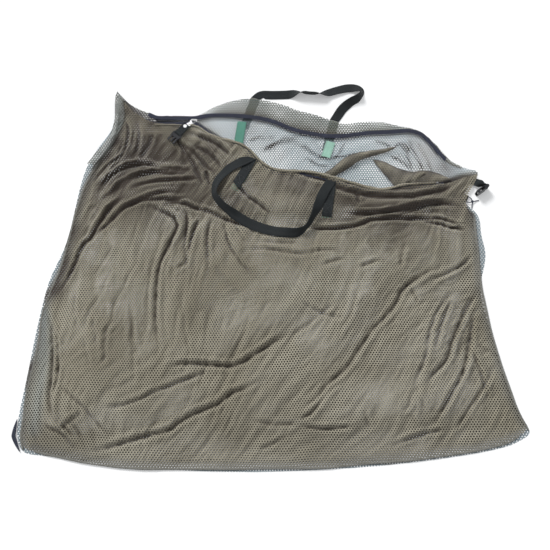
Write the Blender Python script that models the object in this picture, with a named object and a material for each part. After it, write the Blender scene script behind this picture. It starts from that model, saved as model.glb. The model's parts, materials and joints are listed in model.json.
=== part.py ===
"""Carp sack laid on its back panel, mouth unzipped: the construction, in metres, with +Z up.

X runs to the right, Y from the bottom seam towards the mouth. Every piece of cloth is a thin closed
body that follows the same two surfaces, the back panel on the ground and the front panel above it.
Outline and fold points are shares: across of half the sack's width, along of its depth.
"""

import math

import bmesh
import bpy
import numpy as np
from mathutils import Matrix, Vector
from mathutils.bvhtree import BVHTree

# Driving sizes of the sack, in metres
SACK_WIDTH = 1.22
SACK_DEPTH = 0.985
CAVITY_HEIGHT = 0.034
SIDE_RISE = 0.17
LIP_SIDE_RISE = 0.10
MOUTH_RISE = 0.20

# Cloth, webbing and tape
MESH_THICKNESS = 0.0012
HEM_THICKNESS = 0.0013
WEBBING_THICKNESS = 0.0016
BACKING_THICKNESS = 0.0008
ZIP_TAPE_THICKNESS = 0.0007
SEAM_WIDTH = 0.012
FRONT_HEM_WIDTH = 0.055
CORNER_BINDING_WIDTH = 0.010
LIFT_FLAT = 0.045
LIFT_RAMP = 0.300

# Gaps kept between pieces that touch on the real sack: still, sliding or turning, and laid webbing
GAP = 0.0003
RUNNING_GAP = 0.0004
LAID_GAP = 0.0006

# Distances over which the cloth changes height: from the seams, from the hem and from the zip line
SEAM_MARGIN = 0.006
FOLD_SEAM_RAMP = 0.070
FOLD_HEM_RAMP = 0.040
BACK_FOLD_START = 0.016
BACK_FOLD_RAMP = 0.030

# Zip
ZIP_STRAIGHT_LENGTH = 0.110
ZIP_SLIT = 0.0022
ZIP_TAPE_WIDTH = 0.011
TEETH_WIDTH = 0.0025
TEETH_HEIGHT = 0.0026
STOP_LENGTH = 0.005
STOP_WIDTH = 0.0012
END_STOP_SHARE = 0.25
FRONT_EDGE_SETBACK = 0.004
SLIDER_LENGTH = 0.016
SLIDER_PLATE = 0.0010
SLIDER_FLOOR = 0.0006
CROWN_POST = 0.0014
CROWN_SPAN = 0.0066
CROWN_CLEAR_HEIGHT = 0.0034
SLIDER_SETBACK = 0.002
SLIDER_OVERHANG = 0.0018
SLIDER_CORNER = 0.003
SLIDER_BRIDGE_LENGTH = 0.003
SLIDER_BRIDGE_SETBACK = 0.001
FLANGE_SETBACK = 0.003
FLANGE_INSET = 0.0002

# Pull, rivet, strap and clip
PULL_RING_RADIUS = 0.0054
PULL_WIRE_RADIUS = 0.0008
PULL_PLATE_LENGTH = 0.024
PULL_PLATE_WIDTH = 0.010
PULL_PLATE_THICKNESS = 0.0015
PULL_SHOULDER = 0.005
PULL_CORNER = 0.0015
RIVET_HEAD_RADIUS = 0.0046
RIVET_SHANK_RADIUS = 0.0015
RIVET_HEAD_HEIGHT = 0.0014
RIVET_FOOT_HEIGHT = 0.0010
CLIP_WEBBING_WIDTH = 0.020
CLIP_STRAP_LENGTH = 0.028
STRAP_TAIL = 0.007
RIGHT_STRAP_ROOT = 0.009
RIGHT_STRAP_LENGTH = 0.036
RIGHT_STRAP_LOOP_ROOM = 0.009
RIGHT_STRAP_TURN_START = 0.008
WEB_BAR_RADIUS = 0.0013
BUCKLE_CHEEK = 0.0026
MALE_BODY_LENGTH = 0.009
MALE_THICKNESS = 0.0050
PRONG_LENGTH = 0.018
PRONG_WIDTH = 0.0040
PRONG_INSET = 0.0022
PRONG_SHARE = 0.7
HOOK_REACH = 0.0012
HOOK_LENGTH = 0.007
HOOK_POINT = 0.005
GUIDE_WIDTH = 0.0036
GUIDE_SHORTER = 0.003
RIB_COUNT = 3
RIB_START = 0.0012
RIB_PITCH = 0.0028
RIB_WIDTH = 0.0014
RIB_HEIGHT = 0.0008
RIB_INSET = 0.001
MALE_CORNER = 0.0015
OVERLAP = 0.001
FEMALE_LENGTH = 0.030
FEMALE_THICKNESS = 0.0092
FEMALE_NECK = 0.0050
SOCKET_HEIGHT = 0.0066
SOCKET_WINDOW = 0.0070
SOCKET_WALL = 0.0016
SOCKET_DEPTH_LEFT = 0.006
FEMALE_TAPER = 0.005
WINDOW_START = 0.007
WINDOW_END = 0.006

# Handles and their backing
HANDLE_WEBBING_WIDTH = 0.025
BACK_LEG_LENGTH = 0.088
BACKING_WIDTH = 0.024
FRONT_BACKING_LENGTH = 0.060
BACK_CREASE_OFFSET = 0.0045
FRONT_BACKING_START = 0.036

# Tab and tie cord at the right seam
TAB_ROOT = 0.010
TAB_LENGTH = 0.012
TAB_WIDTH = 0.020
CORD_DIAMETER = 0.0025
KNOT_RADIUS = 0.0038
KNOT_DISTANCE = 0.014
CORD_SPREAD = 0.38
CORD_BOW = 0.0015
CORD_ARCH = 0.0012
TAB_CORNER = 0.002

# How far a cutting body reaches past what it cuts
CUT_REACH = 0.010

# How finely the cloth is divided
CORNER_CELLS = 5
STRAIGHT_CELLS = 4
OPEN_CELLS = 33
PANEL_ROWS = 32
ROW_CROWDING = 0.4
CORNER_ROW = 0.012
BACK_LAST_ROW = 0.030
SIDE_EDGE_SHARE = 0.985
LEFT_BLEND = 5
RIGHT_BLEND = 9

# Outline, clockwise from the lower left corner: across of half the width, along of the depth
LEFT_SIDE = [
    (-0.984, 0.044), (-1.008, 0.085), (-1.001, 0.150), (-0.984, 0.222), (-0.961, 0.337), (-0.924, 0.471),
    (-0.862, 0.575), (-0.810, 0.760), (-0.748, 0.845), (-0.706, 0.880), (-0.691, 0.925), (-0.694, 0.965),
    (-0.680, 0.996),
]
BOTTOM_SIDE = [
    (-0.984, 0.044), (-0.793, 0.030), (-0.521, 0.009), (-0.115, 0.000), (0.293, 0.009),
    (0.630, 0.030), (0.892, 0.058), (1.002, 0.091),
]
RIGHT_SIDE = [
    (1.002, 0.091), (0.957, 0.142), (0.911, 0.222), (0.862, 0.356), (0.836, 0.446), (0.868, 0.540),
    (0.854, 0.594), (0.852, 0.640), (0.830, 0.662), (0.797, 0.680), (0.786, 0.697), (0.800, 0.717),
    (0.832, 0.737), (0.852, 0.752), (0.861, 0.769),
]

# Mouth: the joined rows run from the left corner to where the straight closed stretch begins
CORNER_TO_ZIP = [(-0.680, 0.996), (-0.649, 0.966), (-0.604, 0.943), (-0.551, 0.924), (-0.512, 0.914)]
ZIP_STRAIGHT_HEADING = -1.0
BACK_LIP = [
    (-0.293, 0.920), (-0.215, 0.921), (-0.127, 0.917), (-0.062, 0.911), (0.004, 0.899), (0.092, 0.874),
    (0.160, 0.865), (0.240, 0.860), (0.310, 0.862), (0.398, 0.869), (0.488, 0.871), (0.570, 0.875),
    (0.619, 0.867), (0.666, 0.834), (0.712, 0.797), (0.758, 0.775), (0.810, 0.768), (0.861, 0.769),
]
FRONT_LIP = [
    (-0.291, 0.890), (-0.246, 0.870), (-0.196, 0.852), (-0.148, 0.843), (-0.100, 0.819), (-0.057, 0.786),
    (0.000, 0.763), (0.070, 0.757), (0.155, 0.755), (0.252, 0.738), (0.328, 0.723), (0.400, 0.710),
    (0.460, 0.708), (0.537, 0.722), (0.635, 0.732), (0.718, 0.741), (0.788, 0.758), (0.861, 0.769),
]

# How far the back hem reaches beyond the zip line, in metres, at shares of the open lip's length
BACK_HEM_WIDTHS = [
    (0.00, 0.017), (0.05, 0.029), (0.10, 0.049), (0.16, 0.062), (0.27, 0.064), (0.36, 0.069), (0.44, 0.060),
    (0.50, 0.043), (0.63, 0.041), (0.70, 0.021), (0.76, 0.014), (0.86, 0.020), (0.93, 0.015), (1.00, 0.003),
]
CLOSED_HEM_WIDTH = 0.015
CORNER_HEM_WIDTH = 0.003
PARTING_HEM = 0.35

# Height of the front lip above its lowest level, as shares of the cavity, along the open lip
FRONT_LIP_HEIGHTS = [
    (0.00, 0.00), (0.08, 0.15), (0.22, 0.75), (0.38, 1.00), (0.70, 1.00), (0.86, 0.60), (1.00, 0.00),
]

# Main folds: height in metres (ridges up, valleys down), half width in metres, points in shares
FRONT_FOLDS = [
    (0.007, 0.026, [(-0.302, 0.750), (-0.521, 0.697), (-0.774, 0.634), (-0.880, 0.500)]),
    (-0.006, 0.020, [(-0.303, 0.781), (-0.493, 0.795), (-0.640, 0.781), (-0.730, 0.745)]),
    (-0.007, 0.022, [(-0.545, 0.678), (-0.688, 0.640), (-0.769, 0.588), (-0.840, 0.517), (-0.880, 0.438)]),
    (-0.006, 0.022, [(-0.414, 0.634), (-0.411, 0.588), (-0.448, 0.517), (-0.472, 0.425), (-0.474, 0.331)]),
    (-0.005, 0.020, [(-0.319, 0.634), (-0.354, 0.588), (-0.363, 0.527)]),
    (-0.007, 0.022, [(-0.627, 0.154), (-0.392, 0.212), (-0.150, 0.256), (-0.004, 0.309), (0.245, 0.397)]),
    (0.006, 0.026, [(-0.600, 0.205), (-0.380, 0.262), (-0.170, 0.306), (-0.030, 0.357), (0.200, 0.440)]),
    (-0.006, 0.022, [(-0.700, 0.075), (-0.585, 0.080), (-0.417, 0.097), (-0.319, 0.137), (-0.047, 0.227)]),
    (-0.008, 0.024, [(0.101, 0.154), (0.208, 0.205), (0.391, 0.354), (0.496, 0.425), (0.643, 0.498)]),
    (0.007, 0.026, [(0.060, 0.200), (0.170, 0.255), (0.340, 0.395), (0.450, 0.470), (0.600, 0.550)]),
    (-0.006, 0.020, [(0.591, 0.200), (0.688, 0.279), (0.742, 0.344), (0.780, 0.420)]),
    (-0.005, 0.020, [(0.609, 0.321), (0.654, 0.392), (0.694, 0.450)]),
    (-0.009, 0.022, [(-0.519, 0.670), (-0.311, 0.656), (-0.186, 0.629), (-0.008, 0.615), (0.148, 0.607),
                     (0.309, 0.610), (0.414, 0.648), (0.523, 0.656), (0.694, 0.670), (0.760, 0.689)]),
    (0.008, 0.036, [(-0.240, 0.715), (-0.100, 0.690), (0.060, 0.680), (0.250, 0.668), (0.420, 0.685),
                    (0.600, 0.700)]),
]
BACK_FOLDS = [
    (0.009, 0.018, [(0.191, 0.770), (0.298, 0.800), (0.363, 0.820), (0.480, 0.832)]),
    (0.006, 0.016, [(0.427, 0.812), (0.528, 0.745)]),
]

# Front handle: where its legs begin and end, the headings of their lower cuts, the loop's route in
# shares, and the twist of its webbing in degrees (inner edge up if negative) along the loop
FRONT_LEG_TOPS = [(-0.096, 0.792), (0.232, 0.724)]
FRONT_LEG_ENDS = [(-0.160, 0.715), (0.211, 0.630)]
FRONT_LEG_CUTS = [-48.0, -8.0]
FRONT_LOOP_ROUTE = [
    (-0.122, 0.786), (-0.155, 0.777), (-0.189, 0.766), (-0.216, 0.750), (-0.238, 0.731), (-0.250, 0.708),
    (-0.246, 0.684), (-0.203, 0.653), (-0.118, 0.618), (-0.035, 0.596), (0.048, 0.585), (0.100, 0.587),
    (0.136, 0.607), (0.170, 0.648), (0.200, 0.693),
]
FRONT_LOOP_TWISTS = [
    (0.00, 0.0), (0.10, -12.0), (0.18, -30.0), (0.28, -60.0), (0.35, -55.0), (0.43, -12.0), (0.60, 0.0),
    (0.69, -35.0), (0.75, -76.0), (0.80, -66.0), (0.88, -25.0), (0.95, 0.0), (1.00, 0.0),
]

# Back handle: its two creases on the hem's outer edge, the headings of the legs under the sack, the
# loop's route and its twists
BACK_CREASES = [(-0.084, 0.981), (0.262, 0.922)]
BACK_LEG_HEADINGS = [-110.0, -104.5]
BACK_LOOP_ROUTE = [
    (-0.060, 0.992), (-0.010, 0.992), (0.049, 0.993), (0.102, 0.996), (0.155, 0.992), (0.209, 0.993),
    (0.271, 1.005), (0.320, 1.012), (0.360, 1.009), (0.376, 0.994), (0.360, 0.979), (0.327, 0.967),
    (0.292, 0.949),
]
BACK_LOOP_TWISTS = [
    (0.00, 0.0), (0.22, 0.0), (0.34, 80.0), (0.39, 80.0), (0.50, 15.0), (0.64, 5.0), (0.70, 25.0),
    (0.745, 70.0), (0.80, 50.0), (0.90, 20.0), (0.97, 0.0), (1.00, 0.0),
]

# Upper and lower ends of the green tapes inside the back panel
BACK_BACKINGS = [((-0.142, 0.912), (-0.156, 0.850)), ((0.239, 0.854), (0.215, 0.807))]

# Clip straps, tab and cord: headings in degrees, places in shares
PULL_HEADING = -140.0
CLIP_STRAP_HEADING = -130.0
CLIP_REST_TILT = 3.0
RIGHT_STRAP_EXIT = (0.838, 0.7405)
RIGHT_STRAP_HEADING = -28.0
FEMALE_HEADING = -146.0
TAB_EXIT = (0.788, 0.6965)
TAB_HEADING = -25.0
KNOT_TAILS = [(0.016, 14.0), (0.014, -95.0)]
CORD_NAMES = {"tie_cord", "tie_cord_return", "tie_knot"}

HALF_WIDTH = SACK_WIDTH / 2
HEM_STACK = HEM_THICKNESS + ZIP_TAPE_THICKNESS + HEM_THICKNESS + 5 * GAP
SEAM_THICKNESS = HEM_STACK - 2 * GAP
DOUBLED_WEBBING = 2 * WEBBING_THICKNESS
BACK_LIFT = WEBBING_THICKNESS + 2 * GAP
TAPE_START = ZIP_SLIT / 2 + TEETH_WIDTH + GAP
FRONT_EDGE = TAPE_START + FRONT_EDGE_SETBACK
LOOP_INNER = WEB_BAR_RADIUS + 2 * GAP
LOOP_OUTER = LOOP_INNER + WEBBING_THICKNESS
LOOP_REACH = LOOP_OUTER + 2 * GAP
BUCKLE_HALF_WIDTH = CLIP_WEBBING_WIDTH / 2 + RUNNING_GAP + BUCKLE_CHEEK


# Finishes

def finish(name, colour, roughness, metallic=0.0):
    """One Principled material for one sub-part."""
    material = bpy.data.materials.new(name)
    material.use_nodes = True
    shader = material.node_tree.nodes["Principled BSDF"]
    shader.inputs["Base Color"].default_value = (*colour, 1.0)
    shader.inputs["Roughness"].default_value = roughness
    shader.inputs["Metallic"].default_value = metallic
    material.diffuse_color = (*colour, 1.0)
    return material


MESH_KHAKI = (0.20, 0.18, 0.13)
MESH_PALE = (0.55, 0.56, 0.58)
BINDING_TEAL = (0.10, 0.14, 0.15)
TAPE_NAVY = (0.015, 0.017, 0.032)
WEBBING_BLACK = (0.012, 0.020, 0.022)
BACKING_GREEN = (0.10, 0.32, 0.24)
METAL_GREY = (0.62, 0.62, 0.60)
MOULDED_BLACK = (0.012, 0.014, 0.018)


# Curves in plan

def place(share):
    """A plan point from its shares of half the width and of the depth."""
    return np.array([share[0] * HALF_WIDTH, share[1] * SACK_DEPTH])


def smooth(points, count):
    """Points spread evenly by length along one smooth curve through the given ones."""
    given = np.array(points, float)
    ends = np.vstack([2 * given[0] - given[1], given, 2 * given[-1] - given[-2]])
    fine = []
    for a, b, c, d in zip(ends, ends[1:], ends[2:], ends[3:]):
        for t in np.linspace(0, 1, 24, endpoint=False):
            fine.append(0.5 * (2 * b + (c - a) * t + (2 * a - 5 * b + 4 * c - d) * t**2
                               + (3 * b - a - 3 * c + d) * t**3))
    fine.append(given[-1])
    return along(np.array(fine), np.linspace(0, 1, count))


def along(line, shares):
    """The line's points at shares of its length."""
    steps = np.linalg.norm(np.diff(line, axis=0), axis=1)
    run = np.concatenate([[0], np.cumsum(steps)])
    return np.column_stack([np.interp(np.asarray(shares) * run[-1], run,
                                      line[:, k]) for k in range(line.shape[1])])


def ease(x):
    """A smooth step from 0 to 1."""
    x = np.clip(x, 0, 1)
    return x * x * (3 - 2 * x)


def distance_to(line, point):
    """(distance from a plan point to a line, the share of the line's length at its nearest point)."""
    a, b = line[:-1], line[1:]
    run = b - a
    t = np.clip(((point - a) * run).sum(1) / np.maximum((run * run).sum(1), 1e-12), 0, 1)
    away = np.linalg.norm(a + run * t[:, None] - point, axis=1)
    best = int(away.argmin())
    return float(away[best]), (best + float(t[best])) / len(a)


def normals(line, reach):
    """Unit vectors square to the line, on its left, smoothed over reach points each way."""
    run = np.gradient(line, axis=0)
    side = np.column_stack([-run[:, 1], run[:, 0]])
    side /= np.linalg.norm(side, axis=1)[:, None]
    soft = np.array([side[max(0, i - reach): i + reach + 1].mean(0) for i in range(len(line))])
    return soft / np.linalg.norm(soft, axis=1)[:, None]


def heading(degrees):
    """The plan direction of a heading, counted from +X towards +Y."""
    return np.array([math.cos(math.radians(degrees)), math.sin(math.radians(degrees))])


def from_table(table, x):
    """The value at x of a table of (x, value) pairs."""
    marks, values = zip(*table)
    return float(np.interp(x, marks, values))


LEFT_LINE = smooth([place(p) for p in LEFT_SIDE], 120)
BOTTOM_LINE = smooth([place(p) for p in BOTTOM_SIDE], 120)
RIGHT_LINE = smooth([place(p) for p in RIGHT_SIDE], 120)


class Lip:
    """One side of the mouth: stations along the zip line and the direction out of the sack at each."""

    def __init__(self, open_points):
        corner = smooth([place(p) for p in CORNER_TO_ZIP], CORNER_CELLS + 1)
        start = corner[-1]
        self.slider_end = start + heading(ZIP_STRAIGHT_HEADING) * ZIP_STRAIGHT_LENGTH
        straight = along(np.array([start, self.slider_end]), np.linspace(0, 1, STRAIGHT_CELLS + 1))
        opened = smooth([self.slider_end] + [place(p) for p in open_points], OPEN_CELLS + 1)
        self.line = np.vstack([corner[:-1], straight[:-1], opened])
        self.first_straight = CORNER_CELLS
        self.first_open = CORNER_CELLS + STRAIGHT_CELLS
        closed = self.line[: self.first_straight + 2]
        self.out = np.vstack([normals(closed, 1), normals(self.line, 3)[self.first_straight + 2:]])
        for side, stations in ((LEFT_LINE, range(LEFT_BLEND)),
                               (RIGHT_LINE, range(-1, -1 - RIGHT_BLEND, -1))):
            up = (side[-1] - side[-5]) / np.linalg.norm(side[-1] - side[-5])
            for step, station in enumerate(stations):
                part = float(ease(step / len(stations)))
                mixed = (1 - part) * up + part * self.out[station]
                self.out[station] = mixed / np.linalg.norm(mixed)

    def at(self, station, beyond):
        """The plan point at a station, so far beyond the zip line (inwards if negative)."""
        low = int(min(max(math.floor(station), 0), len(self.line) - 2))
        part = station - low
        ends = [self.line[k] + self.out[k] * beyond for k in (low, low + 1)]
        return (1 - part) * ends[0] + part * ends[1]

    def open_share(self, station):
        """How far a station is along the open lip, from 0 at the slider to 1 at the right corner."""
        return (station - self.first_open) / OPEN_CELLS

    def direction(self, station):
        """The plan direction along the lip at a station."""
        run = self.at(station + 0.5, 0) - self.at(station - 0.5, 0)
        return run / np.linalg.norm(run)


BACK = Lip(BACK_LIP)
FRONT = Lip(FRONT_LIP)
STATIONS = len(BACK.line)
SEAM_LINE = np.vstack([LEFT_LINE[::-1], BOTTOM_LINE[1:], RIGHT_LINE[1:]])
FOLD_LINES = {id(fold): smooth([place(p) for p in fold[2]], 40) for fold in FRONT_FOLDS + BACK_FOLDS}

# The panels' edge points, shared with the seam rolls: rows lie closer together near the mouth
EVEN_ROWS = np.linspace(0, 1, PANEL_ROWS)
ROW_SHARES = EVEN_ROWS + ROW_CROWDING * EVEN_ROWS * (1 - EVEN_ROWS)
LEFT_EDGE = along(LEFT_LINE, ROW_SHARES * SIDE_EDGE_SHARE)
RIGHT_EDGE = along(RIGHT_LINE, ROW_SHARES * SIDE_EDGE_SHARE)
BOTTOM_EDGE = along(BOTTOM_LINE, np.linspace(0, 1, STATIONS))


# Heights of the two surfaces

def fold_height(folds, point):
    """What the folds add at a plan point."""
    added = 0.0
    for fold in folds:
        height, half_width, _ = fold
        away, share = distance_to(FOLD_LINES[id(fold)], point)
        fade = ease(share / 0.25) * ease((1 - share) / 0.25)
        added += height * math.exp(-((away / half_width) ** 2)) * (0.15 + 0.85 * fade)
    return added


def beyond_mouth(point):
    """Whether a plan point lies on the far side of the back zip line."""
    return point[1] > np.interp(point[0], BACK.line[:, 0], BACK.line[:, 1])


def back_lift(point):
    """How high the handle legs below it hold the back panel: all the way near the mouth."""
    away, _ = distance_to(BACK.line, point)
    if beyond_mouth(point):
        return BACK_LIFT
    return BACK_LIFT * (1 - ease((away - LIFT_FLAT) / LIFT_RAMP))


def back_underside(point):
    """Height of the back panel's lower face: on the ground, but over the handle legs near the mouth."""
    away, _ = distance_to(BACK.line, point)
    inner = 0.0 if beyond_mouth(point) else ease((away - BACK_FOLD_START) / BACK_FOLD_RAMP)
    return back_lift(point) + inner * fold_height(BACK_FOLDS, point)


def lip_height(station):
    """Height of the front lip above its base, as a share of the cavity."""
    return from_table(FRONT_LIP_HEIGHTS, FRONT.open_share(station))


def front_underside(point, station, inward):
    """Height of the front panel's lower face at a plan point, so far inward from the lip's edge."""
    base = back_lift(point) + MESH_THICKNESS + HEM_STACK
    from_seam, _ = distance_to(SEAM_LINE, point)
    rise = ease((from_seam - SEAM_MARGIN) / SIDE_RISE)
    inside = ease((inward - FRONT_HEM_WIDTH) / MOUTH_RISE)
    lip = lip_height(station) * (1 - inside)
    lip_rise = max(rise, lip * ease((from_seam - SEAM_MARGIN) / LIP_SIDE_RISE))
    folds = fold_height(FRONT_FOLDS, point) * ease(from_seam / FOLD_SEAM_RAMP)
    folds *= ease((inward - FRONT_HEM_WIDTH) / FOLD_HEM_RAMP)
    return base + CAVITY_HEIGHT * lip_rise * (lip + inside) + folds


# Closed bodies from grids

def add_object(name, points, faces, material, origin=(0, 0, 0)):
    """One object from points in the sack's frame, with its origin where it turns or sits."""
    mesh = bpy.data.meshes.new(name)
    origin = Vector(origin)
    mesh.from_pydata([tuple(Vector(p) - origin) for p in points], [], faces)
    shape = bmesh.new()
    shape.from_mesh(mesh)
    bmesh.ops.recalc_face_normals(shape, faces=shape.faces)
    shape.to_mesh(mesh)
    shape.free()
    mesh.materials.append(material)
    thing = bpy.data.objects.new(name, mesh)
    thing.location = origin
    bpy.context.scene.collection.objects.link(thing)
    return thing


def slab(name, lower, upper, material, origin=(0, 0, 0)):
    """A closed body between two grids of points of the same size, cut alike into triangles."""
    rows, columns = len(lower), len(lower[0])
    points = [p for row in lower for p in row] + [p for row in upper for p in row]
    above = rows * columns
    faces = []
    for i in range(rows - 1):
        for j in range(columns - 1):
            a, b = i * columns + j, i * columns + j + 1
            c, d = b + columns, a + columns
            faces += [(a, c, b), (a, d, c)]
            faces += [(a + above, b + above, c + above), (a + above, c + above, d + above)]
    rim = [i * columns for i in range(rows)]
    rim += [(rows - 1) * columns + j for j in range(1, columns)]
    rim += [i * columns + columns - 1 for i in range(rows - 2, -1, -1)]
    rim += list(range(columns - 2, 0, -1))
    for a, b in zip(rim, rim[1:] + rim[:1]):
        faces += [(a, b, b + above), (a, b + above, a + above)]
    return add_object(name, points, faces, material, origin)


def layer(name, plan, heights, thickness, material, origin=(0, 0, 0)):
    """A slab of even thickness over a grid of plan points with the heights of its lower face."""
    lower = [[(*p, z) for p, z in zip(row, zs)] for row, zs in zip(plan, heights)]
    upper = [[(*p, z + thickness) for p, z in zip(row, zs)] for row, zs in zip(plan, heights)]
    return slab(name, lower, upper, material, origin)


# Panels

def patch(top):
    """Plan grid between the seams and a top line: one list of points for each row, from the bottom."""
    left, right = LEFT_EDGE.copy(), RIGHT_EDGE.copy()
    left[-1], right[-1] = top[0], top[-1]
    grid = []
    for i, v in enumerate(ROW_SHARES):
        line = []
        for j in range(STATIONS):
            u = j / (STATIONS - 1)
            point = (1 - v) * BOTTOM_EDGE[j] + v * top[j] + (1 - u) * left[i] + u * right[i]
            point = point - (1 - u) * ((1 - v) * BOTTOM_EDGE[0] + v * top[0])
            line.append(point - u * ((1 - v) * BOTTOM_EDGE[-1] + v * top[-1]))
        grid.append(line)
    return grid


def from_corner(station):
    """How many cells a station is from the nearer end of the mouth."""
    return min(station, STATIONS - 1 - station)


def front_hem_width(station):
    """Width of the front hem, drawn in at both corners and where the lips part."""
    corner = float(ease(from_corner(station) / 8))
    parting = PARTING_HEM + (1 - PARTING_HEM) * float(ease(abs(station - FRONT.first_open - 1) / 6))
    return CORNER_ROW + (FRONT_HEM_WIDTH - CORNER_ROW) * corner * parting


def back_hem_reach(station):
    """How far the back hem reaches beyond the zip line."""
    if station <= BACK.first_open:
        opened = min(1.0, station / BACK.first_straight)
        return CORNER_HEM_WIDTH + (CLOSED_HEM_WIDTH - CORNER_HEM_WIDTH) * opened
    return from_table(BACK_HEM_WIDTHS, BACK.open_share(station))


def back_inner(station):
    """How far inside the zip line the back panel's last whole row lies, drawn in at both corners."""
    return CORNER_ROW + (BACK_LAST_ROW - CORNER_ROW) * float(ease(from_corner(station) / 8))


def make_back_panel():
    """The lower panel: on the ground, with its rows carried out to the hem's outer edge."""
    grid = patch(np.array([BACK.at(k, -back_inner(k)) for k in range(STATIONS)]))
    grid.append([BACK.at(k, 0.0) for k in range(STATIONS)])
    grid.append([BACK.at(k, back_hem_reach(k)) for k in range(STATIONS)])
    heights = [[back_underside(p) for p in row] for row in grid]
    return layer("back_panel", grid, heights, MESH_THICKNESS, finish("pale_mesh", MESH_PALE, 0.85))


def make_front_panel():
    """The upper panel: its rows end at the lip's edge, with the hem zone kept level across."""
    hem, hem_heights = [], []
    for part in (1.0, 0.5, 0.0):
        row = [FRONT.at(k, -FRONT_EDGE - part * front_hem_width(k)) for k in range(STATIONS)]
        hem.append(row)
        hem_heights.append([front_underside(p, k, part * front_hem_width(k)) for k, p in enumerate(row)])
    body = patch(np.array(hem[0]))[:-1]
    heights = []
    for row in body:
        zs = []
        for k, p in enumerate(row):
            inward = front_hem_width(k) + float(np.linalg.norm(p - hem[0][k]))
            zs.append(front_underside(p, k, inward))
        heights.append(zs)
    cloth = finish("khaki_mesh", MESH_KHAKI, 0.85)
    return layer("front_panel", body + hem, heights + hem_heights, MESH_THICKNESS, cloth)


# Seam rolls along the sides and the bottom

def seam_roll(name, path, inward, material):
    """A roll that fills the space between the panels inside an edge."""
    plan = [[p, p + n * SEAM_WIDTH / 2, p + n * SEAM_WIDTH] for p, n in zip(path, inward)]
    heights = [[back_underside(p) + MESH_THICKNESS + GAP for p in row] for row in plan]
    return layer(name, plan, heights, SEAM_THICKNESS, material)


def row_near(edge, share):
    """The row of an edge nearest to a place given in shares."""
    return int(np.linalg.norm(edge - place(share), axis=1).argmin())


def make_seams():
    """Three rolls and the dark binding that shows outside the lower left corner."""
    binding = finish("binding", BINDING_TEAL, 0.8)
    left_inward, right_inward = -normals(LEFT_EDGE, 1), normals(RIGHT_EDGE, 1)
    seam_roll("left_side_seam", LEFT_EDGE[:-3], left_inward[:-3], binding)
    last = row_near(RIGHT_EDGE, TAB_EXIT) - 1
    seam_roll("right_side_seam", RIGHT_EDGE[:last], right_inward[:last], binding)
    seam_roll("bottom_seam", BOTTOM_EDGE[1:-1], normals(BOTTOM_EDGE, 1)[1:-1], binding)
    path = along(LEFT_EDGE[:3], np.linspace(0.05, 0.95, 9))
    widths = [CORNER_BINDING_WIDTH * math.sin(math.pi * k / 8) * 0.8 + CORNER_BINDING_WIDTH * 0.2
              for k in range(9)]
    outward = normals(path, 2)
    plan = [[p + n * 2 * GAP, p + n * (2 * GAP + w)] for p, n, w in zip(path, outward, widths)]
    heights = [[MESH_THICKNESS + GAP] * 2 for _ in plan]
    layer("corner_binding", plan, heights, SEAM_THICKNESS, finish("corner_binding", TAPE_NAVY, 0.6))


# Strips along the lips

def lip_strip(name, lip, stations, far, near, level, thickness, material):
    """A strip along a lip between two distances beyond the zip line; level gives its lower face."""
    plan = [[lip.at(k, far(k)), lip.at(k, near(k))] for k in stations]
    heights = [[level(k, far(k)), level(k, near(k))] for k in stations]
    return layer(name, plan, heights, thickness, material)


def front_level(station, beyond):
    """Height of the front panel's lower face near its edge, level beyond the edge itself."""
    inward = max(0.0, -beyond - FRONT_EDGE)
    width = front_hem_width(station)
    table = [(m, front_underside(FRONT.at(station, -FRONT_EDGE - m), station, m))
             for m in (0, width / 2, width)]
    return from_table(table, inward)


def zip_level():
    """Height of the lower face of both zip tapes where the zip is closed."""
    return BACK_LIFT + MESH_THICKNESS + HEM_THICKNESS + 2 * GAP


def front_tape_level(station, beyond):
    """Height of the lower face of the front zip tape."""
    return front_level(station, beyond) - HEM_THICKNESS - ZIP_TAPE_THICKNESS - 3 * GAP


def make_hems():
    """The turned cloth along both lips: over the back panel, under the front one."""
    cloth = finish("hem_mesh", MESH_KHAKI, 0.85)
    narrowest = FRONT_EDGE + 0.002
    whole = [k for k in range(1, STATIONS - 1) if back_hem_reach(k) > narrowest]
    lip_strip("back_hem", BACK, whole, lambda k: FRONT_EDGE, back_hem_reach,
              lambda k, d: BACK_LIFT + MESH_THICKNESS + GAP, HEM_THICKNESS, cloth)
    inner = range(2, STATIONS - 3)
    lip_strip("front_hem", FRONT, inner, lambda k: -FRONT_EDGE - front_hem_width(k) / 2,
              lambda k: -FRONT_EDGE,
              lambda k, d: front_level(k, d) - HEM_THICKNESS - GAP, HEM_THICKNESS, cloth)


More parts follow.
